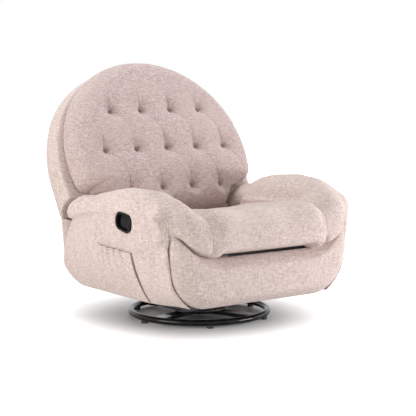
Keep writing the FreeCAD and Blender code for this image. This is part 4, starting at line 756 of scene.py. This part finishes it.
# %% Seams and creases
HANDLE_FOLDS = (((-258, 500), (-276, 462)), ((-286, 492), (-300, 458)))
POCKET_SEAMS = (((-219, 318), (-217, 118), 5.0), ((2, 328), (56, 126), 7.0))
spots = points_of(body_cover.data)
half = np.abs(spots[:, 0])
flat = spots[:, 1:]
outer = ease(0.40, 0.44, half)
off_deck = np.linalg.norm(flat - deck_middle, axis=1) - deck_radius
rear = ease(-0.24, -0.04, spots[:, 1])
amounts = bell(off_deck - 24 * MM, 20 * MM) * outer * rear * 6 * MM
amounts -= bell(off_deck, 4.5 * MM) * outer * rear * 9 * MM
front_roll = ease(-0.42, -0.47, spots[:, 1]) * ease(0.47, 0.43, spots[:, 2])
amounts -= bell(half - 0.276, 3.5 * MM) * front_roll * 3 * MM
handle_side = outer * (spots[:, 0] < 0)
for begin, end in HANDLE_FOLDS:
    off_fold = distance_to_line(flat, side_spot(*begin), side_spot(*end))
    amounts -= bell(off_fold, 6 * MM) * handle_side * 2.5 * MM
for begin, end, deep in POCKET_SEAMS:
    off_seam = distance_to_line(flat, side_spot(*begin), side_spot(*end))
    amounts -= bell(off_seam, 4 * MM) * handle_side * deep * MM
pushed(body_cover, amounts)
dress(body_cover, "chassis")

# %% [markdown]
# ## Back
# The back is a round tufted cushion on a padded shell. It could be simulated with pins at the sewn
# points, but then the creases fall by chance. Here the sewn points are read from the button solids. The
# plain dimples of the foam solid are first filled like a drum skin, and then every point draws the
# cloth in: a wide soft hollow, a tight pit and creases that run to the next points.


# %% Back directions from the buttons
def islands(mesh):
    """Middle points of a mesh's loose parts."""
    shape = bmesh.new()
    shape.from_mesh(mesh)
    bmesh.ops.remove_doubles(shape, verts=shape.verts, dist=1e-6)
    shape.verts.ensure_lookup_table()
    left = set(range(len(shape.verts)))
    middles = []
    while left:
        group = [left.pop()]
        queue = list(group)
        while queue:
            for edge in shape.verts[queue.pop()].link_edges:
                for vert in edge.verts:
                    if vert.index in left:
                        left.remove(vert.index)
                        queue.append(vert.index)
                        group.append(vert.index)
        middles.append(np.mean([shape.verts[index].co for index in group], axis=0))
    shape.free()
    return np.array(middles)


tufts = islands(frame["nodes"]["tuft_buttons"].data)
back_middle = tufts.mean(axis=0)
across = np.array([1.0, 0.0, 0.0])
high = tufts[tufts[:, 2] > back_middle[2] + 0.05].mean(axis=0)
low = tufts[tufts[:, 2] < back_middle[2] - 0.05].mean(axis=0)
up = (high - low) / np.linalg.norm(high - low)
out = np.cross(across, up)
back_axes = np.stack([across, up, out])
tuft_spots = (tufts - back_middle) @ back_axes.T
print("tufts", len(tufts), "lean", round(math.degrees(math.atan2(up[1], up[2])), 1))


# %% Tufted back cover
back_cover = cover("back_cover", ["back_cushion"], 5 * MM, 4)
local = (points_of(back_cover.data) - back_middle) @ back_axes.T
to_tufts = local[:, None, :2] - tuft_spots[None, :, :2]
reach = np.linalg.norm(to_tufts, axis=2).min(axis=1)
drum_skin(back_cover, (reach < 50 * MM) & (local[:, 2] > -12 * MM), 150)
finer(back_cover)
local = (points_of(back_cover.data) - back_middle) @ back_axes.T
facing = ease(0.2, 0.7, normals_of(back_cover.data) @ out)
PIT_BOTTOM = -22 * MM
TUFT_BELLS = ((0.45, 8), (0.30, 17), (0.25, 48))
CROWN = 12 * MM
CROWN_HALF_WIDTH = 0.36
CROWN_HALF_HEIGHT = 0.34
off_crown = (local[:, 0] / CROWN_HALF_WIDTH) ** 2 + ((local[:, 1] + 0.01) / CROWN_HALF_HEIGHT) ** 2
crown = CROWN * np.clip(1 - off_crown, 0, 1) * facing
height = local[:, 2] + crown
random = np.random.default_rng(7)
draw = np.zeros(len(local))
for spot in tuft_spots:
    gap = np.hypot(local[:, 0] - spot[0], local[:, 1] - spot[1])
    near = np.argmin(gap)
    depth = height[near] - PIT_BOTTOM
    draw += depth * sum(share * bell(gap, width * MM) for share, width in TUFT_BELLS)


def crease(begin, end, depth, width, bow):
    """A fold line from one point towards another, deepest at its start."""
    way = end - begin
    length = np.hypot(*way)
    way = way / length
    side = np.array([-way[1], way[0]])
    along = (local[:, 0] - begin[0]) * way[0] + (local[:, 1] - begin[1]) * way[1]
    beside = (local[:, 0] - begin[0]) * side[0] + (local[:, 1] - begin[1]) * side[1]
    share = along / length
    beside = beside - bow * np.sin(np.pi * np.clip(share, 0, 1))
    fade = ease(-0.04, 0.06, share) * (1 - ease(0.55, 1.0, share))
    return depth * fade * np.exp(-np.abs(beside) / width)


# %% Creases between the tufts
PITCH = 147 * MM
ROW_GAP = 171 * MM
folds = np.zeros(len(local))
for spot in tuft_spots:
    flat = spot[:2]
    down_right = flat + np.array([PITCH / 2, -ROW_GAP])
    down_left = flat + np.array([-PITCH / 2, -ROW_GAP])
    upward = flat + np.array([-12 * MM, 75 * MM]) + random.normal(0, 8 * MM, 2)
    strength = random.uniform(0.6, 1.1, 3)
    folds += crease(flat, down_right, strength[0] * 5.5 * MM, 9 * MM, random.uniform(8, 18) * MM)
    folds += crease(flat, down_left, strength[1] * 2 * MM, 8 * MM, -8 * MM)
    folds += crease(flat, upward, strength[2] * 8 * MM, 5 * MM, 3 * MM)
height = height - (draw + folds) * facing
local[:, 2] = height
set_points(back_cover.data, local @ back_axes + back_middle)
# The back takes the darker copy of the cloth: painted shade.
back_cover.data.materials[0] = back_painted_shade_cloth
dress(back_cover, "back")

# %% [markdown]
# ## Shell and buttons
# The padded shell behind the cushion is a plain round form, slimmer towards the rear than its foam
# solid. Each sewn point holds a small button covered in the same cloth, sunk so deep that the folds
# close over it. Buttons could be spheres pressed flat, but a turned profile gives the domed top and the
# tucked edge.

# %% Shell
SHELL_NARROWING = 0.03
SHELL_SLIMMING = 18 * MM
shell_cover = finer(cover("shell_cover", ["back_shell"], 6 * MM, 7))
shell_local = (points_of(shell_cover.data) - back_middle) @ back_axes.T
behind = ease(-0.13, -0.25, shell_local[:, 2])
shell_local[:, 0] *= 1 - SHELL_NARROWING * behind
shell_local[:, 2] += behind * SHELL_SLIMMING
set_points(shell_cover.data, shell_local @ back_axes + back_middle)
dress(shell_cover, "back")

# %% Buttons
BUTTON_PROFILE = ((0.5, 3.2), (4.0, 2.9), (7.0, 1.9), (8.8, 0.2), (9.0, -1.4), (7.6, -2.4), (0.5, -2.6))
BUTTON_SIDES = 24
turns = np.linspace(0, 2 * math.pi, BUTTON_SIDES, endpoint=False)
button_points = []
button_faces = []
for spot in tuft_spots:
    first = len(button_points)
    for radius, lift in BUTTON_PROFILE:
        for turn in turns:
            local_spot = [spot[0] + radius * MM * math.cos(turn), spot[1] + radius * MM * math.sin(turn),
                          PIT_BOTTOM + lift * MM]
            button_points.append(np.array(local_spot) @ back_axes + back_middle)
    for ring in range(len(BUTTON_PROFILE) - 1):
        for step in range(BUTTON_SIDES):
            following = (step + 1) % BUTTON_SIDES
            low = first + ring * BUTTON_SIDES
            high = low + BUTTON_SIDES
            button_faces.append((low + step, high + step, high + following, low + following))
    button_faces.append(tuple(first + step for step in range(BUTTON_SIDES)))
    last = first + (len(BUTTON_PROFILE) - 1) * BUTTON_SIDES
    button_faces.append(tuple(last + BUTTON_SIDES - 1 - step for step in range(BUTTON_SIDES)))
button_mesh = bpy.data.meshes.new("button_covers")
button_mesh.from_pydata(button_points, [], button_faces)
buttons = bpy.data.objects.new("button_covers", button_mesh)
scene.collection.objects.link(buttons)
buttons.data.materials.append(pink_cloth)
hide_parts("tuft_buttons")
dress(buttons, "back")

# %% [markdown]
# ## Pocket
# A cloth pocket is sewn to the side below the handle. Its hem lies close to the side, and a few gathers
# hang from it. The front seam is drawn in tight. A cloth simulation would need pins and time for so
# small a piece. So it is one sheet, laid as a grid over the side's curve, and given the thickness of
# two layers of cloth.


# %% Sheet helper
def cloth_sheet(name, spots, thickness):
    """A piece of cloth through a grid of points, with its flat width, length and area."""
    rows, columns = spots.shape[:2]
    faces = []
    for row in range(rows - 1):
        for column in range(columns - 1):
            corner = row * columns + column
            faces.append((corner, corner + 1, corner + columns + 1, corner + columns))
    mesh = bpy.data.meshes.new(name)
    mesh.from_pydata(spots.reshape(-1, 3).tolist(), [], faces)
    piece = bpy.data.objects.new(name, mesh)
    scene.collection.objects.link(piece)
    width = np.linalg.norm(np.diff(spots, axis=1), axis=2).sum(axis=1).max()
    length = np.linalg.norm(np.diff(spots, axis=0), axis=2).sum(axis=0).max()
    area = sum(face.area for face in mesh.polygons)
    solid = piece.modifiers.new("thickness", "SOLIDIFY")
    solid.thickness = thickness
    solid.offset = 0.0
    applied(piece)
    piece.data.materials.append(pink_cloth)
    shade_smooth(piece)
    print(name, "flat", round(width, 3), "by", round(length, 3), "area", round(area, 4))
    return piece, (float(width), float(length)), float(area)


# %% Pocket cloth
POCKET_FRONT = -218
POCKET_FOOT = 123
HEM_FRONT = 317
HEM_RISE = 11
REAR_SEAM_HEIGHTS = (123, 137, 200, 263, 328)
REAR_SEAM_SPOTS = (58, 54, 29, 13, 2)
GATHERS = ((0.26, 8.0, 0.032), (0.45, 10.0, 0.034), (0.64, 11.0, 0.034), (0.82, 9.0, 0.03))
GATHER_FAN = 0.25
CLEAR_OF_SIDE = 4.0
BULGE = 5.5
HEM_STITCH = 0.955
HEM_DEPTH = 1.5
SEAM_STITCH = 0.962
SEAM_DEPTH = 3.5
STITCH_WIDTH = 0.012
along, rise = np.meshgrid(np.linspace(0, 1, 91), np.linspace(0, 1, 61))
height = POCKET_FOOT + (HEM_FRONT + HEM_RISE * along - POCKET_FOOT) * rise
seam = np.interp(height, REAR_SEAM_HEIGHTS, REAR_SEAM_SPOTS)
depth_spot = POCKET_FRONT + (seam - POCKET_FRONT) * along
middle_share = np.sin(math.pi * along) ** 0.7
stand = CLEAR_OF_SIDE + BULGE * middle_share * ease(0.0, 0.8, rise)
for where, lift, width in GATHERS:
    fan = where + (where - 0.5) * GATHER_FAN * (1 - rise)
    fold = bell(along - fan, width) - 0.7 * bell(along - fan - 1.7 * width, width)
    stand = stand + lift * fold * ease(0.4, 0.85, rise)
hem_line = HEM_DEPTH * bell(rise - HEM_STITCH, STITCH_WIDTH)
seam_line = SEAM_DEPTH * bell(along - SEAM_STITCH, STITCH_WIDTH)
stand = stand - hem_line - seam_line
pocket_out = skin_out(height * MM) + stand * MM
pocket_points = np.stack([-pocket_out, depth_spot * MM - SETBACK, height * MM], axis=2)
pocket_cloth, flat_size, flat_area = cloth_sheet("pocket_cloth", pocket_points, 2.2 * MM)
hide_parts("side_pocket")
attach(pocket_cloth, "chassis")

# %% [markdown]
# ## Back skirt
# Loose cloth hangs from the lower edge of the shell and closes the opening behind the seat. It turns
# round both corners, and each end is tucked behind the side with one big fold, so that it can follow
# when the back reclines. It is one sheet, which stays where it is laid. On the real chair its top goes
# with the back and its lower edge with the chair, and a stiff panel would tear away from one of the two.

# %% Skirt cloth
# The shell's lower edge lies in a plane through the back's hinge that rises to the rear. Its outline is
# read from the cover, in directions round the chair. The skirt starts a little inside and hangs straight
# down.
SHELL_CUT_SLOPE = math.tan(math.radians(17))
HINGE_Y = 0.160
HINGE_Z = 0.332
SKIRT_FOOT = 0.254
FOLD_HEIGHT = 14 * MM
TOP_INSET = 6 * MM
FOOT_INSET = 16 * MM
TUCK_START = 0.075
TUCK_DRIFT = 0.10
REAR_WAVES = 21.0
rim_middle = np.array((0.0, 0.12))
shell_points = points_of(shell_cover.data)
cut_level = HINGE_Z + (shell_points[:, 1] + SETBACK - HINGE_Y) * SHELL_CUT_SLOPE
rim = shell_points[np.abs(shell_points[:, 2] - cut_level) < 16 * MM][:, :2] - rim_middle
rim_turn = np.arctan2(rim[:, 1], rim[:, 0])
rim_reach = np.linalg.norm(rim, axis=1)
turns = np.radians(np.linspace(3, 177, 175))
reach = np.array([rim_reach[np.abs(rim_turn - turn) < 0.04].max() for turn in turns])
reach = np.convolve(np.pad(reach, 3, mode="edge"), np.ones(7) / 7, mode="valid")
ways = np.stack([np.cos(turns), np.sin(turns)], axis=1)
top_line = rim_middle + ways * (reach - TOP_INSET)[:, None]
foot_line = rim_middle + ways * (reach - FOOT_INSET)[:, None]
top_level = HINGE_Z + (top_line[:, 1] + SETBACK - HINGE_Y) * SHELL_CUT_SLOPE + 10 * MM
fall = np.linspace(0, 1, 49)[:, None]
run = np.concatenate([[0], np.cumsum(np.linalg.norm(np.diff(top_line, axis=0), axis=1))])
from_end = np.minimum(run, run[-1] - run)[None, :]
ridge_run = TUCK_START + TUCK_DRIFT * fall
tuck_fold = bell(from_end - ridge_run, 0.022) - 0.6 * bell(from_end - ridge_run + 0.045, 0.02)
rear_fold = ease(0.20, 0.32, from_end) * (0.2 + 0.3 * np.sin(run * REAR_WAVES)[None, :])
swell = (tuck_fold * ease(0.05, 0.35, fall) + rear_fold * fall) * FOLD_HEIGHT
skirt_plan = top_line[None] * (1 - fall[:, :, None]) + foot_line[None] * fall[:, :, None]
skirt_plan = skirt_plan + swell[:, :, None] * ways[None]
skirt_level = top_level[None] * (1 - fall) + SKIRT_FOOT * fall
skirt_points = np.concatenate([skirt_plan, skirt_level[:, :, None]], axis=2)
print("skirt runs", round(float(run[-1]), 3), "m round the back")
skirt_cloth, flat_size, flat_area = cloth_sheet("skirt_cloth", skirt_points, 2.0 * MM)
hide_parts("back_skirt")
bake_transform(skirt_cloth)

# %% [markdown]
# ## Flap behind the seat
# A plain flap of the cover's cloth closes the gap between the seat's rear and the foot of the back. It
# is sewn to both and sags between them, so that it can open out when the back reclines. One sheet on a
# smoothed line is enough, because it lies in shadow.

# %% Flap cloth
FLAP_HALF = 0.284
FLAP_SMOOTHING = 12
FLAP_WAVES = 37.0
FLAP_LINE = ((0.022, 0.372), (0.045, 0.360), (0.070, 0.368), (0.092, 0.388), (0.108, 0.420))
flap_steps = np.linspace(0, len(FLAP_LINE) - 1, 33)
flap_profile = np.array(FLAP_LINE)
flap_sides = [np.interp(flap_steps, range(len(FLAP_LINE)), flap_profile[:, axis]) for axis in range(2)]
flap_line = np.stack(flap_sides, axis=1)
for _ in range(FLAP_SMOOTHING):
    flap_line[1:-1] = flap_line[1:-1] * 0.5 + (flap_line[:-2] + flap_line[2:]) * 0.25
flap_across = np.linspace(-FLAP_HALF, FLAP_HALF, 61)
flap_points = np.zeros((len(flap_line), len(flap_across), 3))
flap_points[:, :, 0] = flap_across[None, :]
flap_points[:, :, 1] = flap_line[:, :1]
flap_points[:, :, 2] = flap_line[:, 1:]
sag = np.sin(math.pi * np.linspace(0, 1, len(flap_line)))[:, None]
flap_points[:, :, 2] -= sag * (2 + 2 * np.sin(flap_across * FLAP_WAVES)[None, :]) * MM
flap_cloth, flat_size, flat_area = cloth_sheet("flap_cloth", flap_points, 2.0 * MM)
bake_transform(flap_cloth)

# %% [markdown]
# ## Rocker springs
# Upright coil springs stand between the swivel plate and the cradle. When the chair rocks, their tops
# go with the cradle and their feet stay on the plate. Rigid coils would be cut by the cradle. Here the
# coils are one joined copy in spring steel, which stays where it is laid.

# %% Coil copy
coils = joined_copy("rocker_coils", ["rocker_springs"])
coils.data.materials.append(spring_steel)
shade_smooth(coils)
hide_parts("rocker_springs")
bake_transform(coils)
print("coils", len(coils.data.vertices), "points")

# %% [markdown]
# ## Handle and cable
# The release is a black moulded cup with a flap that the fingers pull. Real mouldings have no sharp
# edges, and remeshing a copy finely and relaxing it rounds them all. Behind the cup, a short sheathed
# cable runs down to the mechanism. It is one smooth curve with a round section, through the points of
# the modelled tube, because a simulated rope would only find the same short hang.

# %% Handle mouldings
MOULDINGS = (("bezel_moulding", "handle_bezel", "chassis"), ("flap_moulding", "handle_lever", "lever"))
for name, node, body in MOULDINGS:
    piece = relaxed(joined_copy(name, [node]), 1.0 * MM, 5)
    piece.data.materials.clear()
    piece.data.materials.append(moulding)
    shade_smooth(piece)
    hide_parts(node)
    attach(piece, body)
    print(name, len(piece.data.vertices), "points")

# %% Release cable
CABLE_ROUTE = ((-462.0, -171, 427), (-424, -168, 413), (-386, -162, 380), (-356, -155, 336),
               (-332, -148, 290), (-312, -143, 262), (-289.5, -141, 250))
CABLE_DIAMETER = 6 * MM
cable_curve = bpy.data.curves.new("cable", "CURVE")
cable_curve.dimensions = "3D"
cable_curve.bevel_depth = CABLE_DIAMETER / 2
cable_curve.bevel_resolution = 4
cable_curve.resolution_u = 16
cable_curve.use_fill_caps = True
spline = cable_curve.splines.new("NURBS")
spline.points.add(len(CABLE_ROUTE) - 1)
for point, (x, y, z) in zip(spline.points, CABLE_ROUTE):
    point.co = (x * MM, y * MM - SETBACK, z * MM, 1)
spline.order_u = 3
spline.use_endpoint_u = True
cable = bpy.data.objects.new("cable", cable_curve)
scene.collection.objects.link(cable)
cable_curve.materials.append(sheath)
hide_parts("release_cable")
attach(cable, "chassis")
